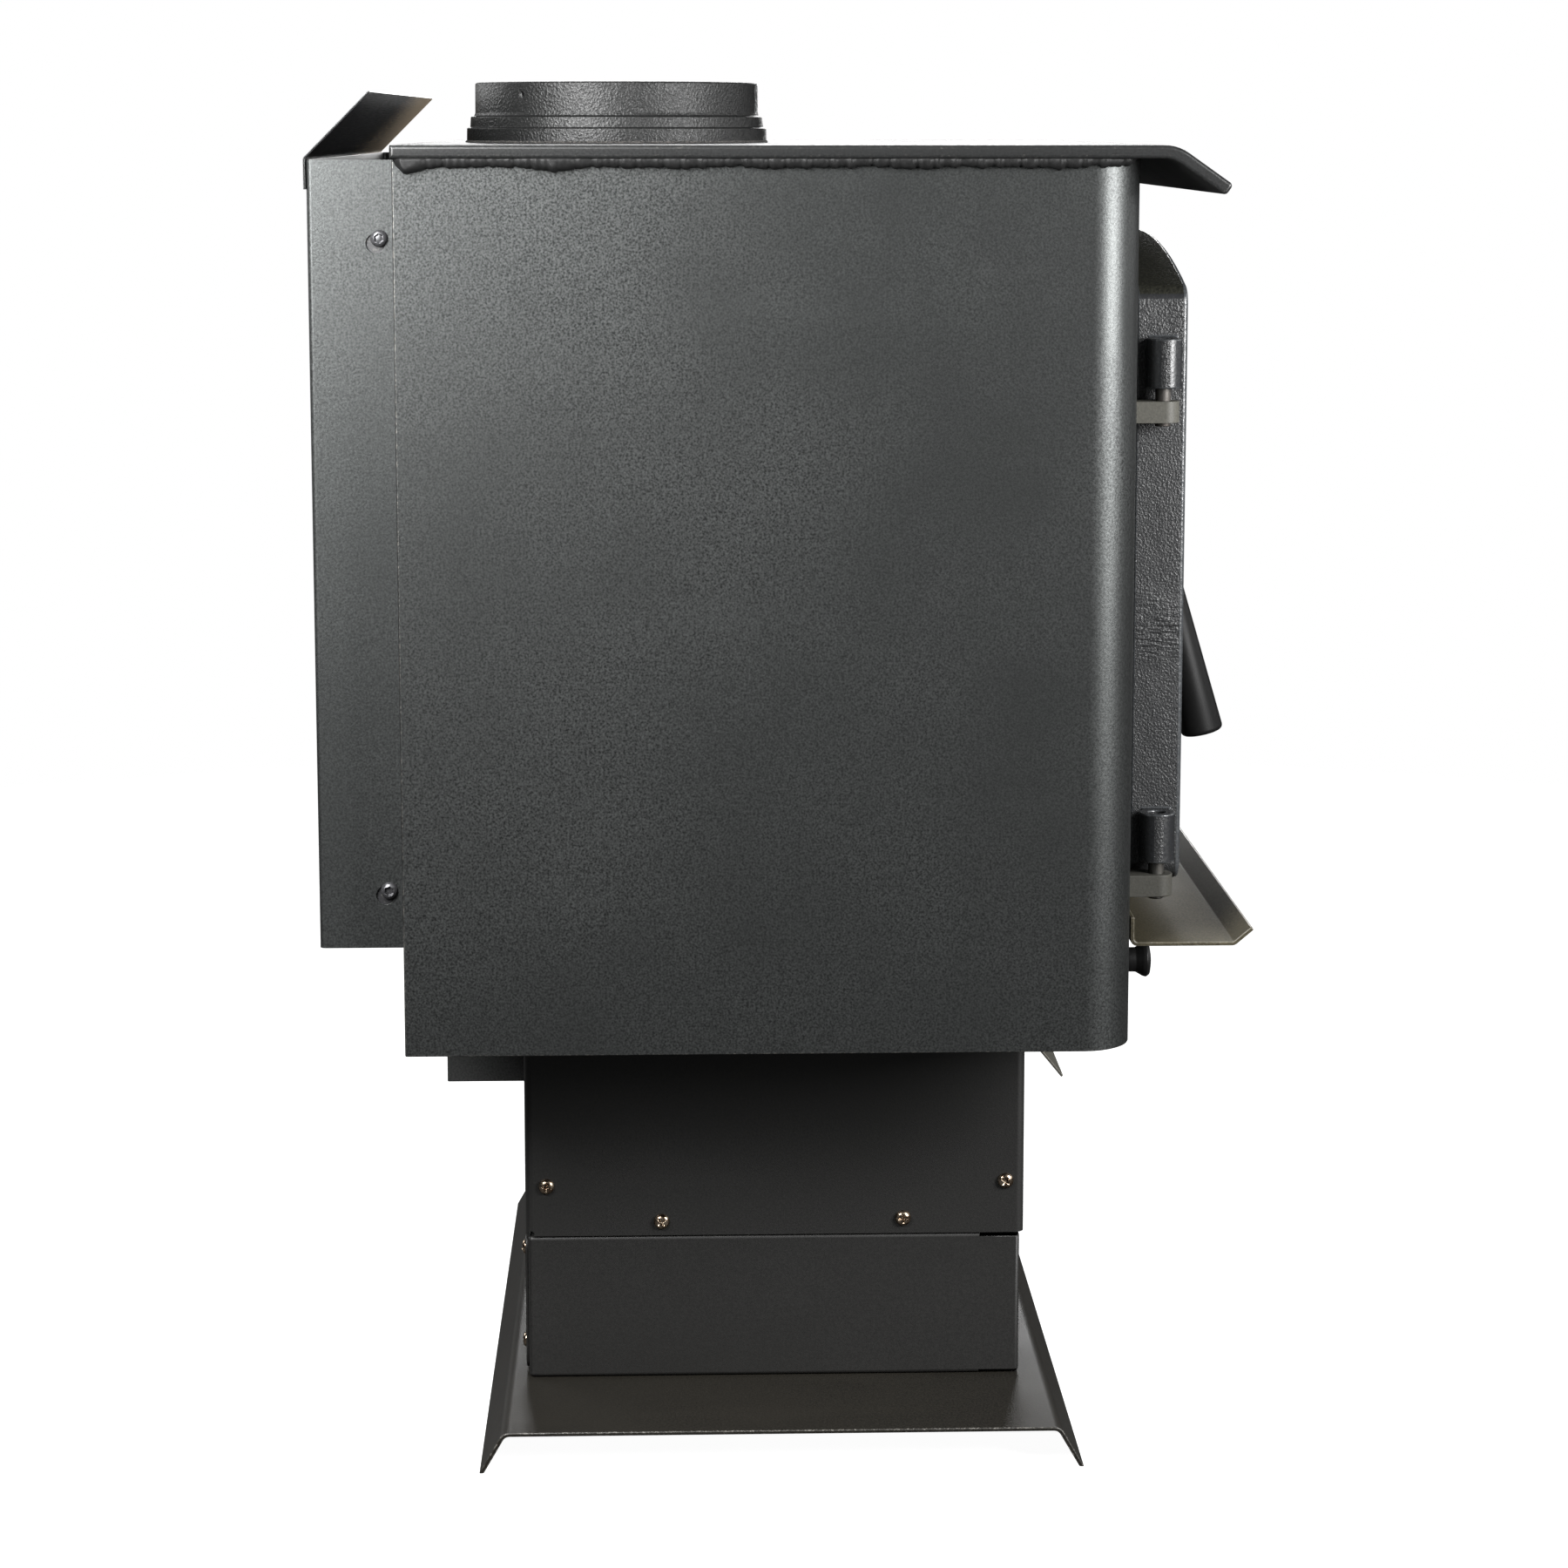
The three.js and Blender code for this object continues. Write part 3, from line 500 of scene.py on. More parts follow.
grit, tree, shader, place = new_finish("furnace_cement")
crumbs = cloud(tree, place, 520, 4.0, 0.7)
grit_tone = blended(tree, between(tree, crumbs, 0.4, 0.65), (0.004, 0.004, 0.004), (0.06, 0.055, 0.05))
coat(tree, shader, grit_tone, 0.9)
relief(tree, shader, (crumbs, 0.9, 0.0015))
cement_turn = full_turn(360)
cement_width = 1 + 0.30 * ripple(np.cos(cement_turn) + 2 * np.sin(cement_turn), 0.5, 5, 21)
cement_section = full_turn(10)
cement_radius = 114.6 * MM + 1.3 * MM * cement_width[:, None] * np.cos(cement_section)
cement = np.stack([
    collar_middle[0] + cement_radius * np.cos(cement_turn)[:, None],
    collar_middle[1] + cement_radius * np.sin(cement_turn)[:, None],
    collar_low.z + 1.1 * MM * cement_width[:, None] * np.sin(cement_section) + 0.2 * MM,
], -1)
skin("flue_collar_cement", cement, grit, "stove_body", along=True)

# ---------------------------------------------------------------- firebrick lining
# Loose firebricks stand against the walls and lie on the floor plate. They are pressed from pale clay with a
# coarse speckle, and their arrises are slightly rounded. One floor brick has the hole for the ash plug.

brick_clay, tree, shader, place = new_finish("firebrick_clay")
speckle = cloud(tree, place, 330, 4.0, 0.7)
burn = cloud(tree, place, 9, 4.0, 0.6)
clay = blended(tree, between(tree, speckle, 0.35, 0.65), (0.30, 0.215, 0.12), (0.52, 0.41, 0.25))
clay = blended(tree, between(tree, burn, 0.42, 0.75, 0.0, 0.45), clay, (0.20, 0.145, 0.09))
# small pits sunk into the faces and darkened inside: painted shade in the hollows
shaded_pits = tree.nodes.new("ShaderNodeTexVoronoi")
tree.links.new(place, shaded_pits.inputs["Vector"])
shaded_pits.inputs["Scale"].default_value = 150
clay = blended(tree, between(tree, shaded_pits.outputs["Distance"], 0.10, 0.2, 0.6, 0.0), clay, (0.10, 0.07, 0.045))
coat(tree, shader, clay, 0.95)
relief(tree, shader, (speckle, 0.8, 0.0012), (shaded_pits.outputs["Distance"], 0.4, 0.001))


def bricks(node, name, counts, seed, gap=0.6, rounding=1.8):
    """A lining slab as single bricks: the slab's box shared out by counts along each axis, with a gap in
    millimetres between bricks and a slight seeded difference in how far each stands out."""
    low, high = (np.array(corner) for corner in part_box(node))
    counts = np.array(counts)
    size = (high - low) / counts
    cells = np.stack(np.meshgrid(*(np.arange(n) for n in counts), indexing="ij"), -1).reshape(-1, 1, 3)
    base = np.array([[0, 0, 0], [1, 0, 0], [1, 1, 0], [0, 1, 0]])
    corners = np.vstack([base, base + [0, 0, 1]])
    inset = np.where(counts > 1, gap * MM / 2, 0.15 * MM)
    draw = np.random.default_rng(seed)
    thin = np.argmin(high - low)
    slip = np.zeros((len(cells), 1, 3))
    slip[:, 0, thin] = draw.uniform(0, 0.8 * MM, len(cells))
    points = low + cells * size + inset + corners * (size - 2 * inset - slip)
    if low[thin] > 0:
        points = points + slip
    faces = np.array([[0, 3, 2, 1], [4, 5, 6, 7], [0, 1, 5, 4], [1, 2, 6, 5], [2, 3, 7, 6], [3, 0, 4, 7]])
    faces = (faces[None] + 8 * np.arange(len(cells))[:, None, None]).reshape(-1, 4)
    mesh = bpy.data.meshes.new(name)
    mesh.from_pydata(points.reshape(-1, 3).tolist(), [], faces.tolist())
    mesh.materials.append(brick_clay)
    set_smooth(mesh)
    piece = bpy.data.objects.new(name, mesh)
    bpy.context.scene.collection.objects.link(piece)
    bevel = piece.modifiers.new("rounded_arrises", "BEVEL")
    bevel.width = rounding * MM
    bevel.segments = render_levels
    keep_flats(piece)
    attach(piece, "stove_body")
    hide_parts(node)
    return piece


bricks("side_brick_left", "side_bricks_left", (1, 4, 2), 41)
bricks("side_brick_right", "side_bricks_right", (1, 4, 2), 42)
bricks("rear_brick", "rear_bricks", (5, 1, 2), 43)
bricks("floor_brick_left", "floor_bricks_left", (2, 2, 1), 44)
bricks("floor_brick_right", "floor_bricks_right", (2, 2, 1), 45)
finished("floor_brick_centre", "floor_brick_holed", brick_clay, edge=1.8)
finished("ash_plug", "ash_plug_brick", brick_clay, edge=1.2)

# ---------------------------------------------------------------- burn tubes and baffle
# Steel channels along both sides carry air to four tubes across the top of the firebox. A soft pale fibre
# board lies on the tubes, a bent plate washes air down the glass and a cast bar keeps the logs back.

for side in ("left", "right"):
    finished(f"air_channel_{side}", f"air_duct_{side}", inner_steel, edge=0.5)
hot_steel = mill_steel("heat_coloured_steel", (0.15, 0.125, 0.10), 0.38, (1, 8, 8), 0.6)
for i in (1, 2, 3, 4):
    finished(f"air_tube_{i}", f"burn_tube_{i}", hot_steel, edge=0.3, steps=1)
board, tree, shader, place = new_finish("ceramic_fibre_board")
fibres = cloud(tree, stretched(tree, place, (6, 1, 1), (0, 0, 0.5)), 120, 5.0, 0.7)
coat(tree, shader, blended(tree, fibres, (0.55, 0.48, 0.36), (0.74, 0.68, 0.56)), 0.95)
relief(tree, shader, (fibres, 0.6, 0.0012))
finished("baffle_board", "baffle", board, edge=2.0)
finished("air_wash_plate", "air_wash_strip", inner_steel, edge=0.4)
bar_paint = cast_paint("log_bar_iron", (0.02, 0.019, 0.018), 0.6, 0.5, 0.1)
finished("log_retainer", "log_bar", bar_paint, edge=0.8)
finished("latch_striker", "latch_wear_plate", inner_steel, edge=0.5)

# ---------------------------------------------------------------- hinge brackets
# Two stubby steel brackets with rounded ends are welded to the front panel. They are painted a smooth matt
# olive grey, and each carries a plain steel pin on which a barrel of the door turns.

# one olive paint on both brackets; the lower bracket's darker tone is painted shade
bracket_tones_with_painted_shade = {
    "upper": ((0.052, 0.050, 0.042), 0.52),
    "lower": ((0.034, 0.033, 0.028), 0.55),
}
pin_steel = mill_steel("hinge_pin_steel", (0.060, 0.058, 0.053), 0.46, (4, 4, 1), 0.2)
for height, (tone, roughness) in bracket_tones_with_painted_shade.items():
    olive = stove_paint(f"{height}_bracket_olive", tone, roughness, 0.25, 0.10, rub=0.3, shine=0.3)
    finished(f"hinge_bracket_{height}", f"hinge_lug_{height}", olive, edge=1.3, steps=3)
    finished(f"hinge_pin_{height}", f"hinge_spindle_{height}", pin_steel, edge=0.8)

# ---------------------------------------------------------------- door
# A thick iron casting with an arched head, painted semi-gloss black over its rough skin, with two barrels
# cast on. The glass lies in a rebate behind a rolled steel frame, and a braided glass rope seals the back.

door_paint = cast_paint("door_cast_paint", (0.0142, 0.0146, 0.0152), 0.42, 0.60, 0.12, 0.8, fineness=620)
door_arris = cast_paint("door_cast_arris", (0.030, 0.032, 0.034), 0.27, 0.22, 0.15)
# the upward faces of the arched head: a matter paint, with a darker tone that is painted shade from the
# cooktop lip above
shaded_door_head = cast_paint("door_head_matt_and_painted_shade", (0.0100, 0.0100, 0.0072), 0.74, 0.5, 0.1, shine=0.12)
barrel_paint = cast_paint("hinge_barrel_gloss", (0.010, 0.0105, 0.0115), 0.32, 0.12, 0.06)
door_low, door_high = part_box("door_frame")
door_heart = (door_low + door_high) / 2
casting = finished("door_frame", "door_casting", door_paint, door_arris, 3.2, 3, 42)
rim = bmesh.new()
rim.from_mesh(casting.data)
roundness = rim.edges.layers.float.new("bevel_weight_edge")
for edge in rim.edges:
    if edge.is_manifold and edge.calc_face_angle() > radians(42):
        on_front = all(abs(v.co.y - door_low.y) < 0.3 * MM for v in edge.verts)
        upright = [face for face in edge.link_faces if abs(face.normal.y) < 0.1]
        outside = any(face.normal.dot(face.calc_center_median() - door_heart) > 0 for face in upright)
        edge[roundness] = 1.0 if on_front and outside else 0.4
rim.to_mesh(casting.data)
rim.free()
casting.modifiers["rounded_edges"].limit_method = "WEIGHT"
casting.modifiers["rounded_edges"].use_clamp_overlap = False
casting.data.materials.append(shaded_door_head)
casting.data.materials.append(barrel_paint)


def face_values(piece, what):
    """The normal or the centre of every face of a piece, as rows of three."""
    values = np.empty(len(piece.data.polygons) * 3)
    piece.data.polygons.foreach_get(what, values)
    return values.reshape(-1, 3)


facing = face_values(casting, "normal")
middles = face_values(casting, "center")
finish_index = np.zeros(len(middles), np.int32)
# upward faces near the head take the darker head paint: painted shade
finish_index[(facing[:, 2] > 0.5) & (middles[:, 2] > door_high.z - 60 * MM)] = 2
for height in ("lower", "upper"):
    pin_low, pin_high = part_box(f"hinge_pin_{height}")
    pin_axis = np.array([(pin_low.x + pin_high.x) / 2, (pin_low.y + pin_high.y) / 2])
    near_pin = np.hypot(*(middles[:, :2] - pin_axis).T) < 14.5 * MM
    flat_side = (np.abs(facing[:, 0]) > 0.98) | (np.abs(facing[:, 1]) > 0.98)
    finish_index[near_pin & ~flat_side] = 3
casting.data.polygons.foreach_set("material_index", finish_index)

gasket_low, gasket_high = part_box("door_gasket")
door_half = 250 * MM
arch_rise = 34 * MM
arch_radius = (door_half**2 + arch_rise**2) / (2 * arch_rise)


def door_line(inset, corner, count=60):
    """The door's outline drawn in by an inset: upright sides, rounded corners and a flat arc as its head.

    The arc's radius is half the door's width squared plus its rise squared, over twice the rise."""
    half = door_half - inset
    low = door_low.z + inset
    radius = arch_radius - inset
    widest = np.arcsin(half / radius)
    angle = np.linspace(widest, -widest, count)
    head = np.stack([radius * np.sin(angle), door_high.z - arch_radius + radius * np.cos(angle)], -1)
    corners = np.vstack([[[-half, low], [half, low]], head])
    radii = np.zeros(len(corners))
    radii[[0, 1, 2, -1]] = corner
    return rounded_line(corners, radii, 8, closed=True)


def smooth_loop(line, count):
    """A closed line walked at equal steps, with the outward direction across it at each step."""
    closed = np.vstack([line, line[:1]])
    walked = np.concatenate([[0], np.cumsum(np.linalg.norm(np.diff(closed, axis=0), axis=1))])
    at = np.linspace(0, walked[-1], count, endpoint=False)
    points = np.stack([np.interp(at, walked, closed[:, 0]), np.interp(at, walked, closed[:, 1])], -1)
    ahead = np.roll(points, -1, 0) - np.roll(points, 1, 0)
    ahead /= np.linalg.norm(ahead, axis=1)[:, None]
    return points, np.stack([ahead[:, 1], -ahead[:, 0]], -1), at


def along_loop(points, out, across, depth):
    """A section carried round an upright loop: each point moves outwards by its distance across the loop,
    and lies at its depth from front to back."""
    x = points[:, None, 0] + out[:, None, 0] * across
    z = points[:, None, 1] + out[:, None, 1] * across
    return np.stack([x, depth + 0 * x, z], -1)


# the bevel cast round the window
window_points, window_out, _ = smooth_loop(door_line(64 * MM, 14 * MM), 420)
bevel_corners = np.array([[1.5, 1.4], [-9.0, 9.2], [-9.0, 9.9], [1.5, 9.9]]) * MM
bevel_section = rounded_line(bevel_corners, np.array([0.5, 0.5, 0.2, 0.2]) * MM, 3, closed=True)
window_bevel = along_loop(window_points, window_out, bevel_section[:, 0], door_low.y + bevel_section[:, 1])
skin("window_bevel", window_bevel, door_paint, "door", along=True)

glass, tree, shader, place = new_finish("ceramic_door_glass")
soot = cloud(tree, place, 11, 5.0, 0.6)
shader.inputs["Base Color"].default_value = (0.62, 0.58, 0.52, 1)
tree.links.new(between(tree, soot, 0.4, 0.75, 0.02, 0.10), shader.inputs["Roughness"])
shader.inputs["Transmission Weight"].default_value = 1.0
shader.inputs["IOR"].default_value = 1.05
shader.inputs["Coat Weight"].default_value = 1.0
shader.inputs["Coat Roughness"].default_value = 0.03
shader.inputs["Coat IOR"].default_value = 1.5
relief(tree, shader, (cloud(tree, place, 8, 1.0), 0.05, 0.002))
finished("door_glass", "door_glass_pane", glass, edge=0.4)
finished("glass_frame", "glass_retaining_frame", inner_steel, edge=0.5)

rope, tree, shader, place = new_finish("braided_glass_rope")
strand = tree.nodes.new("ShaderNodeAttribute")
strand.attribute_name = "strand"
weave = between(tree, strand.outputs["Fac"], 0.0, 1.0)
coat(tree, shader, blended(tree, weave, (0.10, 0.10, 0.095), (0.30, 0.30, 0.285)), 0.9)
relief(tree, shader, (cloud(tree, place, 900, 3.0), 0.5, 0.0004))
rope_points, rope_out, rope_at = smooth_loop(door_line(18 * MM, 20 * MM), 1400)
rope_turn = full_turn(20)
braid_pitch = 13.5 * MM
strand_phase = 2 * np.pi * rope_at[:, None] / braid_pitch
braid = np.maximum(np.sin(4 * rope_turn + strand_phase), np.sin(4 * rope_turn - strand_phase))
rope_half_wide = 5.6 * MM * (1 + 0.06 * braid)
rope_half_deep = 0.47 * (gasket_high.y - gasket_low.y) * (1 + 0.06 * braid)
rope_depth = (gasket_low.y + gasket_high.y) / 2 + np.sin(rope_turn) * rope_half_deep
rope_grid = along_loop(rope_points, rope_out, np.cos(rope_turn) * rope_half_wide, rope_depth)
gasket = skin("door_rope_seal", rope_grid, rope, "door", along=True, replaces=("door_gasket",))
strands = gasket.data.attributes.new("strand", "FLOAT", "POINT")
strands.data.foreach_set("value", (0.5 + 0.5 * braid).reshape(-1).astype(np.float32))

# ---------------------------------------------------------------- latch handle
# A black steel shaft passes through the door and hangs down in front, with a tapered satin-black grip
# pushed on its end. A cam on the inner end turns behind the wear plate.

shaft_black = stove_paint("shaft_black", (0.014, 0.014, 0.015), 0.4, grain=0.2, rub=0.6, bare=0.2)
finished("latch_shaft", "latch_spindle", shaft_black, edge=0.8)
grip_black, tree, shader, place = new_finish("satin_black_grip")
grip_grain = cloud(tree, place, 700, 3.0)
grip_tone = blended(tree, grip_grain, (0.0025, 0.0025, 0.0025), (0.006, 0.006, 0.006))
coat(tree, shader, grip_tone, between(tree, cloud(tree, place, 18, 3.0), 0.3, 0.7, 0.44, 0.54), shine=0.2)
relief(tree, shader, (grip_grain, 0.25, 0.0003))
lean = radians(13.5)
shaft_top = Vector((212 * MM, -296.471 * MM, 625 * MM))
grip_down = Vector((0, -np.sin(lean), -np.cos(lean)))
grip_profile = rounded_line(
    np.array([[0.0, 26.0], [6.4, 26.0], [6.4, 0.0], [10.2, 0.0], [18.0, 148.5], [0.0, 152.0]]) * MM,
    np.array([0, 0, 0.8, 2.0, 4.0, 0]) * MM, 6)
turned("handle_grip_cone", grip_profile, shaft_top + grip_down * 38 * MM, grip_down, grip_black, "door_latch",
       ("handle_grip",), 64)

# ---------------------------------------------------------------- ash shelf
# Three-millimetre sheet across the front, bent down at the back where it is welded on and turned up at its
# front edge. It is sprayed a thin, matt olive brown that lets the grain of the steel show.

shelf_tone = (0.030, 0.0262, 0.0170)
shelf_paint = stove_paint("ash_shelf_olive", shelf_tone, 0.62, grain=0.7, smudge=0.12, rub=0.2, shine=0.09)
shelf_edge = stove_paint("ash_shelf_edge", toned(shelf_tone, 1.3), 0.42, bare=0.3)
finished("ash_shelf", "ash_tray_shelf", shelf_paint, shelf_edge, 0.9, 3)

# ---------------------------------------------------------------- rear heat shield
# Thin sheet folded to a shallow tray behind the firebox. Keyhole slots let it hang from socket screws in the
# rails, and a deflector with a brushed underside turns the rising warm air forwards over the cooktop.

shield_tone = (0.0415, 0.0437, 0.0432)
shield_paint = stove_paint("shield_satin_grey", shield_tone, 0.43, 0.5, smudge=0.08, rub=0.12, flake=0.8)
shield_edge = stove_paint("shield_edge", toned(shield_tone, 1.2), 0.36, bare=0.2, flake=0.8)
rear_sheet = finished("rear_shield", "rear_heat_shield", shield_paint, shield_edge, 0.35, 2)
shield_screws = ("left_lower", "left_upper", "right_lower", "right_upper")


def round_hole(radius, count, y, z):
    """A hole's outline in the upright plane that runs front to back."""
    turn = full_turn(count)
    return np.stack([0 * turn, y + np.cos(turn) * radius, z + np.sin(turn) * radius], -1)


for corner_name in shield_screws:
    screw_low, screw_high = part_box(f"shield_screw_{corner_name}")
    centre = (screw_low + screw_high) / 2
    outline = round_hole(6.6 * MM, 28, centre.y + 2.6 * MM, centre.z - 3.4 * MM)
    reach = (-330 * MM, -310 * MM) if "left" in corner_name else (310 * MM, 330 * MM)
    cut_by(rear_sheet, f"keyhole_{corner_name}", *peg(outline, (1, 0, 0), *reach))

# The underside's brushed brown streaks are its own. Its near-black near end is painted shade, and its warm,
# pale-streaked far end is painted light.
brushed, tree, shader, place = new_finish("deflector_brushed_and_painted_light")
strokes = cloud(tree, stretched(tree, place, (1.2, 40, 40)), 26, 4.0, 0.6)
across = tree.nodes.new("ShaderNodeSeparateXYZ")
tree.links.new(place, across.inputs[0])
lit_end_reach = combined(tree, "ADD", across.outputs["X"], between(tree, strokes, 0.2, 0.8, -0.10, 0.10))
# share of painted light along the deflector, from the dark near end to the lit far end
warm = between(tree, lit_end_reach, 0.03, 0.20)
brush_and_lit_tone = blended(tree, warm, (0.0015, 0.0015, 0.002), (0.36, 0.27, 0.17))
lit_pale_strokes = combined(tree, "MULTIPLY", warm, between(tree, strokes, 0.42, 0.70, 0.0, 0.7))
brush_and_lit_tone = blended(tree, lit_pale_strokes, brush_and_lit_tone, (0.50, 0.43, 0.34))
coat(tree, shader, brush_and_lit_tone, between(tree, strokes, 0.3, 0.7, 0.34, 0.5), 0.2, 0.12)
relief(tree, shader, (strokes, 0.35, 0.0004))
deflector = finished("shield_deflector", "air_deflector", brushed, shield_edge, 0.35, 2)
deflector.data.materials.append(shield_paint)
outer_side = face_values(deflector, "normal")
painted_faces = (outer_side[:, 2] > 0.1) | (outer_side[:, 1] > 0.3)
deflector.data.polygons.foreach_set("material_index", np.where(painted_faces, 2, 0).astype(np.int32))
for side in ("left", "right"):
    finished(f"shield_rail_{side}", f"shield_hanger_{side}", shaft_black, edge=0.4)

black_oxide, tree, shader, place = new_finish("black_oxide_screw")
oxide = cloud(tree, place, 600, 3.0)
oxide_tone = blended(tree, oxide, (0.035, 0.035, 0.037), (0.11, 0.11, 0.115))
coat(tree, shader, oxide_tone, between(tree, oxide, 0.3, 0.7, 0.25, 0.4), 0.7)
relief(tree, shader, (oxide, 0.3, 0.0002))


def screw_head(name, seat, axis, recess, paint, slot, spin, replaces=(), head=(5.9, 3.9)):
    """A screw with a shaped recess: a polar grid on which the head's dome, rim and side are set by the
    distance from the axis, and the recess sinks the points that lie inside its outline."""
    wide, high = (size * MM for size in head)
    axis = np.asarray(axis, float)
    side = np.cross(axis, (0.0, 0.0, 1.0))
    turn = full_turn(72)
    share = np.concatenate([np.linspace(0.0, 0.985, 30), [1.0]])
    brim = np.where(share < 1, 0.23 * high, 0.08 * high)
    dome = np.maximum(high * np.clip(1 - share**2, 0, 1) ** 0.42, brim)
    height = dome[:, None] - recess(wide * share[:, None], turn[None] + spin)
    height = np.vstack([height, 0 * height[:2] + [[-0.3 * MM], [-8.0 * MM]]])
    radius = np.concatenate([wide * share, [0.97 * wide, 0.48 * wide]])[:, None]
    ring = np.cos(turn)[:, None] * side + np.sin(turn)[:, None] * np.array([0, 0, 1.0])
    grid = np.asarray(seat, float) + height[..., None] * axis + radius[..., None] * ring
    grid[0] = grid[0].mean(0)
    return skin(name, grid, paint, "stove_body", replaces=replaces)


def side_seat(node):
    """Where a side screw's head meets its sheet, and its outward axis."""
    low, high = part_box(node)
    sign = -1.0 if low.x < 0 else 1.0
    face = low.x + 3.9 * MM if sign < 0 else high.x - 3.9 * MM
    return (face, (low.y + high.y) / 2, (low.z + high.z) / 2), (sign, 0, 0)


def round_socket(radius, turn):
    """A hexagon socket with a chamfered mouth: full depth inside the flats, none outside."""
    flat = np.cos(np.mod(turn, np.pi / 3) - np.pi / 6) * radius
    return 2.4 * MM * np.clip((3.0 * MM - flat) / (0.5 * MM), 0, 1)


for i, corner_name in enumerate(shield_screws):
    node = f"shield_screw_{corner_name}"
    screw_head(f"shield_socket_screw_{corner_name}", *side_seat(node), round_socket, black_oxide,
               "shield_screw", 0.4 + 1.3 * i, (node,))

# ---------------------------------------------------------------- air intake box
# A folded sheet box behind the pedestal takes outside air through its round port and feeds it up under the
# firebox floor. It is painted with the body.

intake_paint = stove_paint("intake_box_paint", (0.036, 0.037, 0.036), 0.5)
finished("air_intake_box", "air_inlet_box", intake_paint, edge=0.7)

# ---------------------------------------------------------------- pedestal
# The upper pedestal is sheet folded to a square tube, near-black satin. It slips over an upstand of the lower
# box and is held by four cross-head screws on either side, bright steel with a bronze tint.

pedestal_tone = (0.0086, 0.0084, 0.0079)
pedestal_paint = stove_paint("pedestal_satin_black", pedestal_tone, 0.5, 0.35, 0.14, rub=0.2, shine=0.42)
pedestal_edge = stove_paint("pedestal_edge", toned(pedestal_tone, 1.5), 0.4, bare=0.12)
tube = finished("pedestal_wrap", "pedestal_tube", pedestal_paint, pedestal_edge, 0.6, 2, 44)
tube_low, tube_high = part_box("pedestal_wrap")
relief_hole = round_hole(2.2 * MM, 16, tube_high.y - 4.5 * MM, tube_low.z + 1.6 * MM)
cut_by(tube, "corner_relief", *peg(relief_hole, (1, 0, 0), -220 * MM, 220 * MM))
finished("drawer_support", "drawer_runner", inner_steel, edge=0.4)

bronze, tree, shader, place = new_finish("bronze_tinted_steel")
tarnish = cloud(tree, place, 260, 3.0)
bronze_tone = blended(tree, between(tree, tarnish, 0.35, 0.65), (0.15, 0.095, 0.06), (0.46, 0.38, 0.29))
coat(tree, shader, bronze_tone, between(tree, tarnish, 0.3, 0.7, 0.16, 0.3), 1.0)
relief(tree, shader, (tarnish, 0.15, 0.0002))


def cross_recess(radius, turn):
    """A cross recess: four tapering arms about the axis, deepest in the middle and shallow at their tips."""
    along = radius * np.maximum(np.abs(np.cos(turn)), np.abs(np.sin(turn)))
    across = radius * np.minimum(np.abs(np.cos(turn)), np.abs(np.sin(turn)))
    inside = np.clip((0.75 * MM - across) / (0.25 * MM), 0, 1)
    depth = 2.6 * MM * np.clip(1 - along / (3.5 * MM), 0, 1) ** 0.6
    return inside * depth


for side in ("left", "right"):
    for i in (1, 2, 3, 4):
        node = f"pedestal_screw_{side}_{i}"
        screw_head(f"pedestal_cross_screw_{side}_{i}", *side_seat(node), cross_recess, bronze,
                   "pedestal_screw", 0.5 + 0.9 * i, (node,))

# ---------------------------------------------------------------- air control
# A steel rod slides through the front panel and the pedestal to a damper blade. A turned black knob with a
# dished face is pinned to its end.

finished("air_rod", "air_control_rod", pin_steel, edge=0.4)
knob_low, knob_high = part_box("air_knob")
knob_middle = ((knob_low.x + knob_high.x) / 2, knob_high.y - 6 * MM, (knob_low.z + knob_high.z) / 2)
knob_profile = rounded_line(
    np.array([[0.0, 11.4], [6.0, 12.0], [11.4, 11.0], [13.2, 8.6], [12.6, 6.0], [9.4, 0.5], [9.3, -6.0],
              [4.4, -6.0], [4.4, 3.0], [0.0, 3.0]]) * MM,
    np.array([0, 5.0, 1.5, 1.2, 3.0, 2.0, 1.0, 0, 0, 0]) * MM, 6)
turned("air_control_knob", knob_profile, knob_middle, (0, -1, 0), grip_black, "air_control",
       ("air_knob",), 64)

# ---------------------------------------------------------------- ash drawer
# A pan folded from thin sheet slides under the ash hole on a support inside the pedestal. Its flat front is
# painted the shelf's olive, and the front's top edge is bent over and down into a pull.

finished("ash_pan", "ash_drawer_pan", inner_steel, edge=0.5)
drawer_paint = stove_paint("drawer_front_olive", (0.046, 0.044, 0.036), 0.52, grain=0.25)
finished("drawer_front", "ash_drawer_front", drawer_paint, shelf_edge, 0.5, 2)

# ---------------------------------------------------------------- lower pedestal box
# Folded sheet with rolled top and bottom edges. Its side flanges stop short of the front corners, which
# leaves narrow slits, and a cover plate with four cross-head screws closes the rear.

base_low, base_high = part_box("pedestal_base")
box_height = 108.7
seam = base_low.z + box_height * MM
half_wide = 207.2 * MM
box_front = base_low.y
box_rear = base_high.y


def box_plan(inset, corner):
    """The box's plan drawn in by an inset, its corners rounded by what is left of their radius."""
    half = half_wide - inset
    front = box_front + inset
    rear = box_rear - inset
    corners = np.array([[-half, front], [half, front], [half, rear], [-half, rear]])
    return rounded_line(corners, max(corner - inset, 0.2 * MM), 5, closed=True)


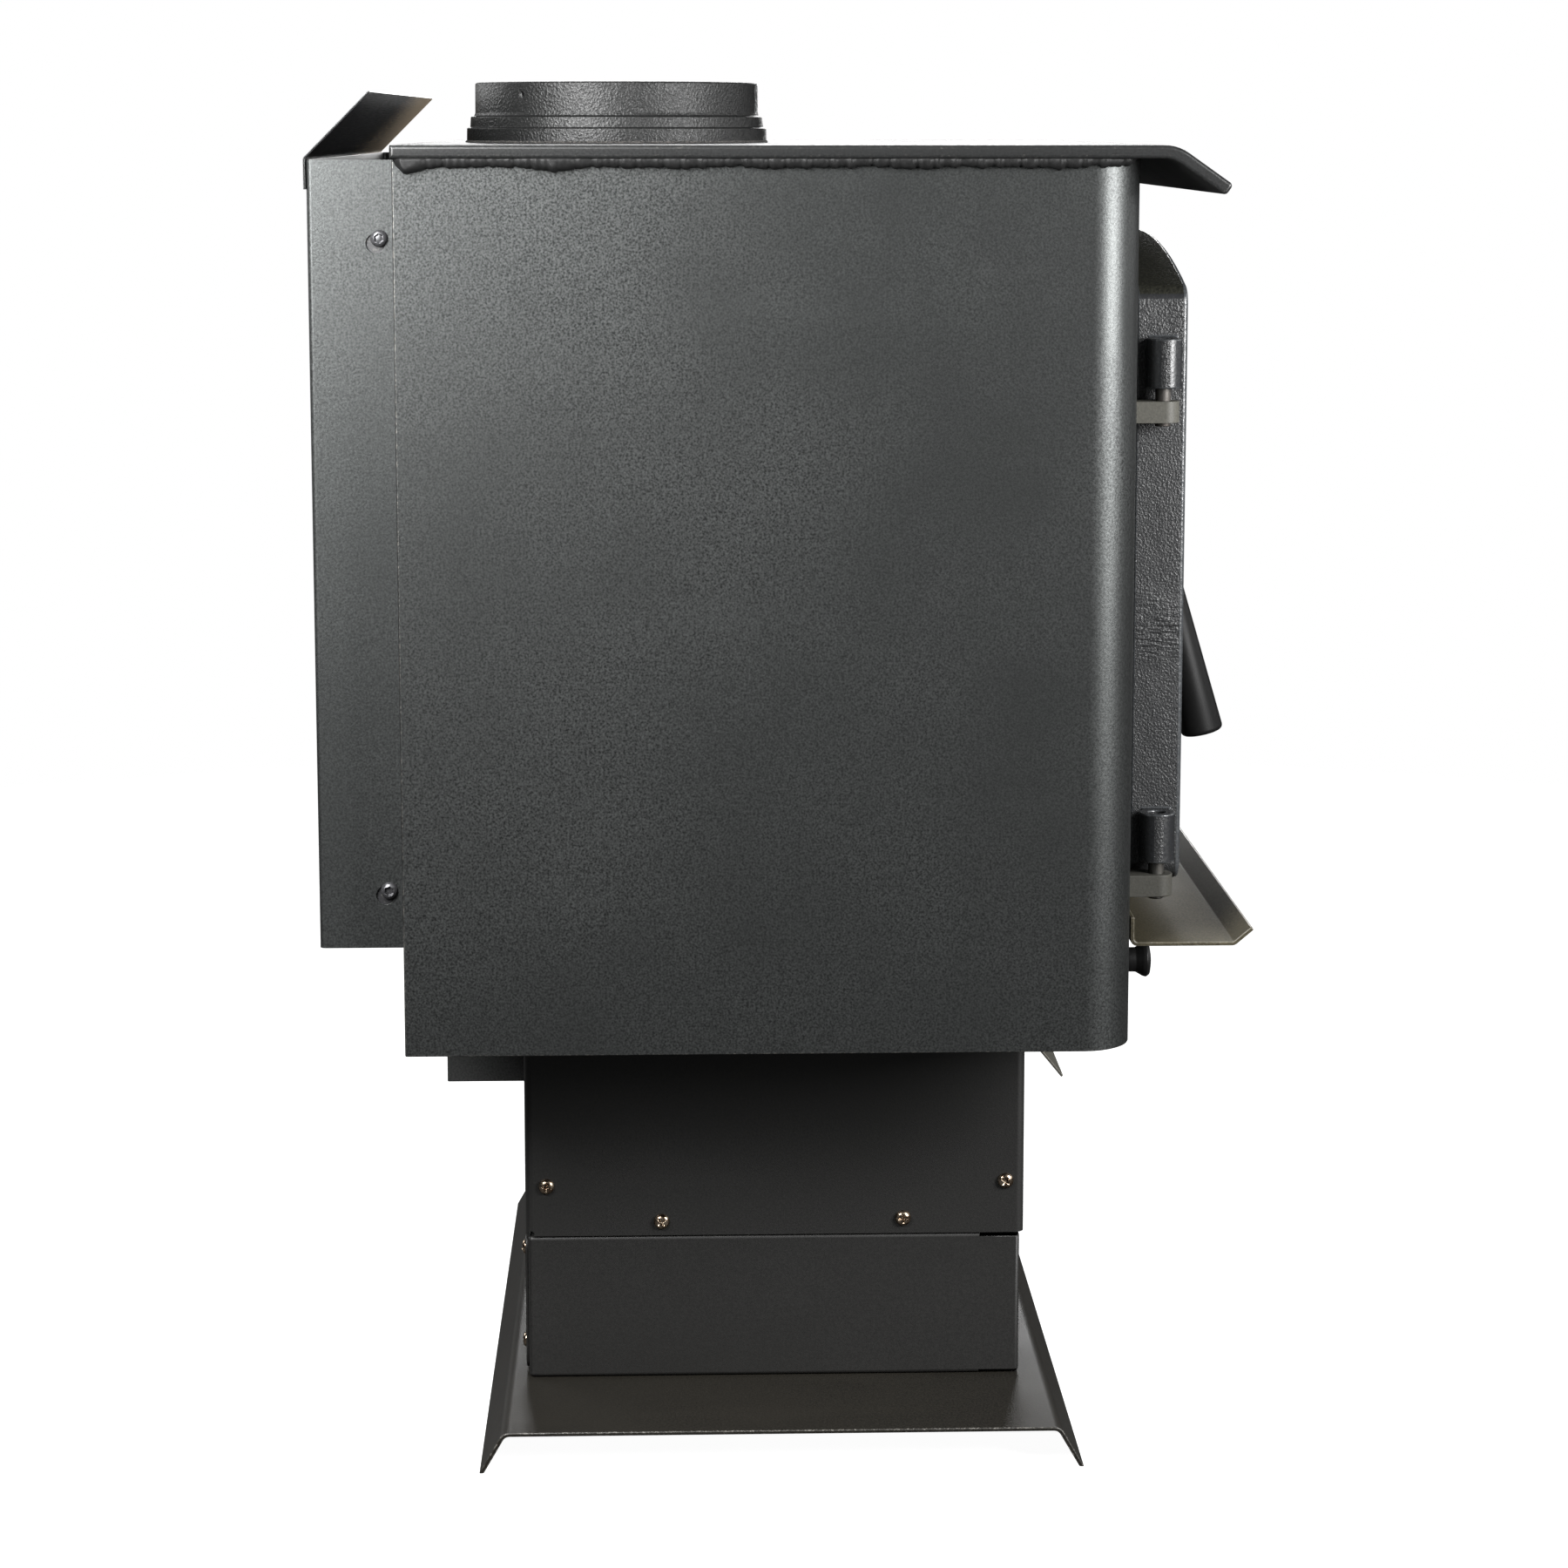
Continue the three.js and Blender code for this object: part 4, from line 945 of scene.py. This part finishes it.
wall_corners = np.array([[11, 0], [0, 0], [0, box_height], [11, box_height], [11, box_height - 2.2],
                         [2.4, box_height - 2.2], [2.4, 2.2], [11, 2.2]]) * MM
wall_line = rounded_line(wall_corners, np.array([0.2, 3.2, 3.4, 0.3, 0.3, 1.0, 1.0, 0.3]) * MM, closed=True)
rings = np.stack([box_plan(inset, 3.2 * MM) for inset in wall_line[:, 0]], 1)
heights = np.broadcast_to(base_low.z + wall_line[:, 1], rings.shape[:2])
lower_box = skin("pedestal_lower_box", np.dstack([rings, heights]), pedestal_paint, "stove_body",
                 along=True, replaces=("pedestal_base",))
slit_start = box_front + 1.2 * MM
slit_end = box_front + 30 * MM
slit_heights = {
    "top": (seam - 3.4 * MM, seam + 1 * MM),
    "bottom": (base_low.z - 1 * MM, base_low.z + 2.6 * MM),
}
for sign in (-1, 1):
    span = sorted((sign * 203.5 * MM, sign * 209 * MM))
    for label, (under, over) in slit_heights.items():
        slit = np.array([[0, slit_start, under], [0, slit_end, under],
                         [0, slit_end, over], [0, slit_start, over]])
        cut_by(lower_box, f"slit_{label}_{sign + 1}", *peg(slit, (1, 0, 0), *span))
keep_flats(lower_box)

# the upstand inside the tube, which takes the side screws
upstand = np.stack([box_plan(inset, 3.2 * MM) for inset in (np.array([2.6, 2.6, 4.6, 4.6]) * MM)], 1)
upstand_heights = np.broadcast_to(np.array([seam, base_high.z, base_high.z, seam]), upstand.shape[:2])
skin("pedestal_upstand", np.dstack([upstand, upstand_heights]), pedestal_paint, "stove_body",
     along=True, smooth=False)

# the rear cover plate and its screws
cover_corners = np.array([[-196, 3.5], [196, 3.5], [196, 104], [-196, 104]]) * MM + [0, base_low.z]
cover_line, cover_across, _ = smooth_loop(rounded_line(cover_corners, 5 * MM, 6, closed=True), 160)
cover_depth = np.array([0.1, 2.0, 2.6, 2.6]) * MM
cover_inset = np.array([0.0, 0.0, 0.6, 3.0]) * MM
cover = along_loop(cover_line, cover_across, -cover_inset, box_rear + cover_depth).transpose(1, 0, 2)
skin("pedestal_rear_cover", cover, pedestal_paint, "stove_body")
for i, (x, z) in enumerate(((-182, 21), (-182, 93), (182, 21), (182, 93))):
    seat = (x * MM, box_rear + 2.6 * MM, base_low.z + z * MM)
    screw_head(f"rear_cover_screw_{i + 1}", seat, (0, 1, 0), cross_recess, bronze, "pedestal_screw", 0.3 + i,
               head=(5.6, 3.2))

# ---------------------------------------------------------------- foot plate
# Three-millimetre sheet, folded down at its front and rear edges, on which the stove stands. The black paint
# is thin and brownish, worn through in spots along the edges.

foot_tone = (0.0078, 0.0070, 0.0055)
foot_paint = stove_paint("foot_plate_black", foot_tone, 0.5, 0.5, smudge=0.25, rub=0.5, shine=0.2)
foot_edge = stove_paint("foot_plate_edge", toned(foot_tone, 1.5), 0.4, rub=0.8, bare=0.5)
finished("foot_plate", "foot", foot_paint, foot_edge, 0.9, 2)

# ---------------------------------------------------------------- studio
# A pale floor that fades into the white room, five soft boxes round the stove and a weak one overhead. The
# camera stands 2.4 metres from the side panel, a little above the cooktop, and looks slightly down.

scene = bpy.context.scene
scene.view_settings.view_transform = "Standard"
room = bpy.data.worlds.new("white_room")
room.use_nodes = True
scene.world = room
tree = room.node_tree
tree.nodes.clear()


def room_light(tree, colour, strength):
    """An even light from all round."""
    light = tree.nodes.new("ShaderNodeBackground")
    light.inputs["Color"].default_value = (*colour, 1)
    light.inputs["Strength"].default_value = strength
    return light.outputs[0]


def chosen(tree, share, first, second):
    """The first shader where the share is 0, the second where it is 1, and a mix between."""
    choice = tree.nodes.new("ShaderNodeMixShader")
    for socket, source in zip(choice.inputs, (share, first, second)):
        tree.links.new(source, socket)
    return choice.outputs[0]


room_seen = room_light(tree, (1, 1, 1), 1.0)
room_lit = room_light(tree, (0.96, 0.98, 1), 0.025)
straight_view = tree.nodes.new("ShaderNodeLightPath").outputs["Is Camera Ray"]
output = tree.nodes.new("ShaderNodeOutputWorld")
tree.links.new(chosen(tree, straight_view, room_lit, room_seen), output.inputs["Surface"])

floor_material, tree, shader, place = new_finish("pale_floor")
floor_tone = blended(tree, cloud(tree, place, 3.0, 2.0), (0.30, 0.30, 0.30), (0.34, 0.34, 0.335))
coat(tree, shader, floor_tone, 0.8, shine=0)
shader.inputs["Emission Color"].default_value = (1, 1, 1, 1)
shader.inputs["Emission Strength"].default_value = 0.97
thrown = tree.nodes.new("ShaderNodeBsdfDiffuse")
thrown.inputs["Color"].default_value = (0.06, 0.06, 0.06, 1)
straight_view = tree.nodes.new("ShaderNodeLightPath").outputs["Is Camera Ray"]
near_floor = chosen(tree, straight_view, thrown.outputs[0], shader.outputs[0])
distance = tree.nodes.new("ShaderNodeVectorMath")
distance.operation = "LENGTH"
tree.links.new(place, distance.inputs[0])
clear = tree.nodes.new("ShaderNodeBsdfTransparent")
floor_fade = between(tree, distance.outputs["Value"], 1.0, 2.6)
floor_shader = chosen(tree, floor_fade, near_floor, clear.outputs[0])
tree.links.new(floor_shader, tree.nodes["Material Output"].inputs["Surface"])
floor_radius = 2.8
floor_turn = full_turn(96)
floor_rim = floor_radius * np.stack([np.cos(floor_turn), np.sin(floor_turn), 0 * floor_turn], -1)
floor_mesh = bpy.data.meshes.new("studio_floor")
floor_mesh.from_pydata(floor_rim.tolist(), [], [list(range(96))])
floor_mesh.materials.append(floor_material)
studio_floor = bpy.data.objects.new("studio_floor", floor_mesh)
scene.collection.objects.link(studio_floor)


def soft_box(name, stand, aim, width, height, power):
    """A rectangular soft light at a stand, turned to face its aim, both in metres."""
    lamp = bpy.data.lights.new(name, "AREA")
    lamp.shape = "RECTANGLE"
    lamp.size = width
    lamp.size_y = height
    lamp.energy = power
    box = bpy.data.objects.new(name, lamp)
    scene.collection.objects.link(box)
    box.location = stand
    box.visible_camera = False
    box.rotation_euler = (Vector(aim) - Vector(stand)).to_track_quat("-Z", "Y").to_euler()


heart = (0, 0, 0.55)
soft_box("key_box", (-0.95, 0.62, 1.19), (-0.345, 0.15, 0.76), 0.48, 0.75, 46)
soft_box("front_strip", (-1.18, -1.27, 1.06), (-0.33, -0.2, 0.82), 0.60, 0.86, 70)
soft_box("front_box", (0.7, -3.0, 1.6), heart, 1.4, 1.6, 22)
soft_box("rear_box", (2.1, 2.8, 1.6), heart, 1.4, 1.6, 46)
soft_box("right_box", (3.0, -0.1, 1.6), heart, 1.4, 1.6, 72)
soft_box("overhead_box", (0, 0, 3.0), heart, 2.0, 2.0, 7)

camera_data = bpy.data.cameras.new("studio_camera")
camera_data.lens = 81.4
camera_data.sensor_width = 36
camera_data.shift_y = -0.10
camera = bpy.data.objects.new("studio_camera", camera_data)
scene.collection.objects.link(camera)
from_side = 2395.4 * MM
camera.location = (cad_low.x - from_side, 108.3 * MM, 955.0 * MM)
turned_forward = radians(1.79)
tilted_down = radians(8.08)
look = Vector((
    np.cos(tilted_down) * np.cos(turned_forward),
    -np.cos(tilted_down) * np.sin(turned_forward),
    -np.sin(tilted_down),
))
camera.rotation_euler = look.to_track_quat("-Z", "Y").to_euler()
scene.camera = camera
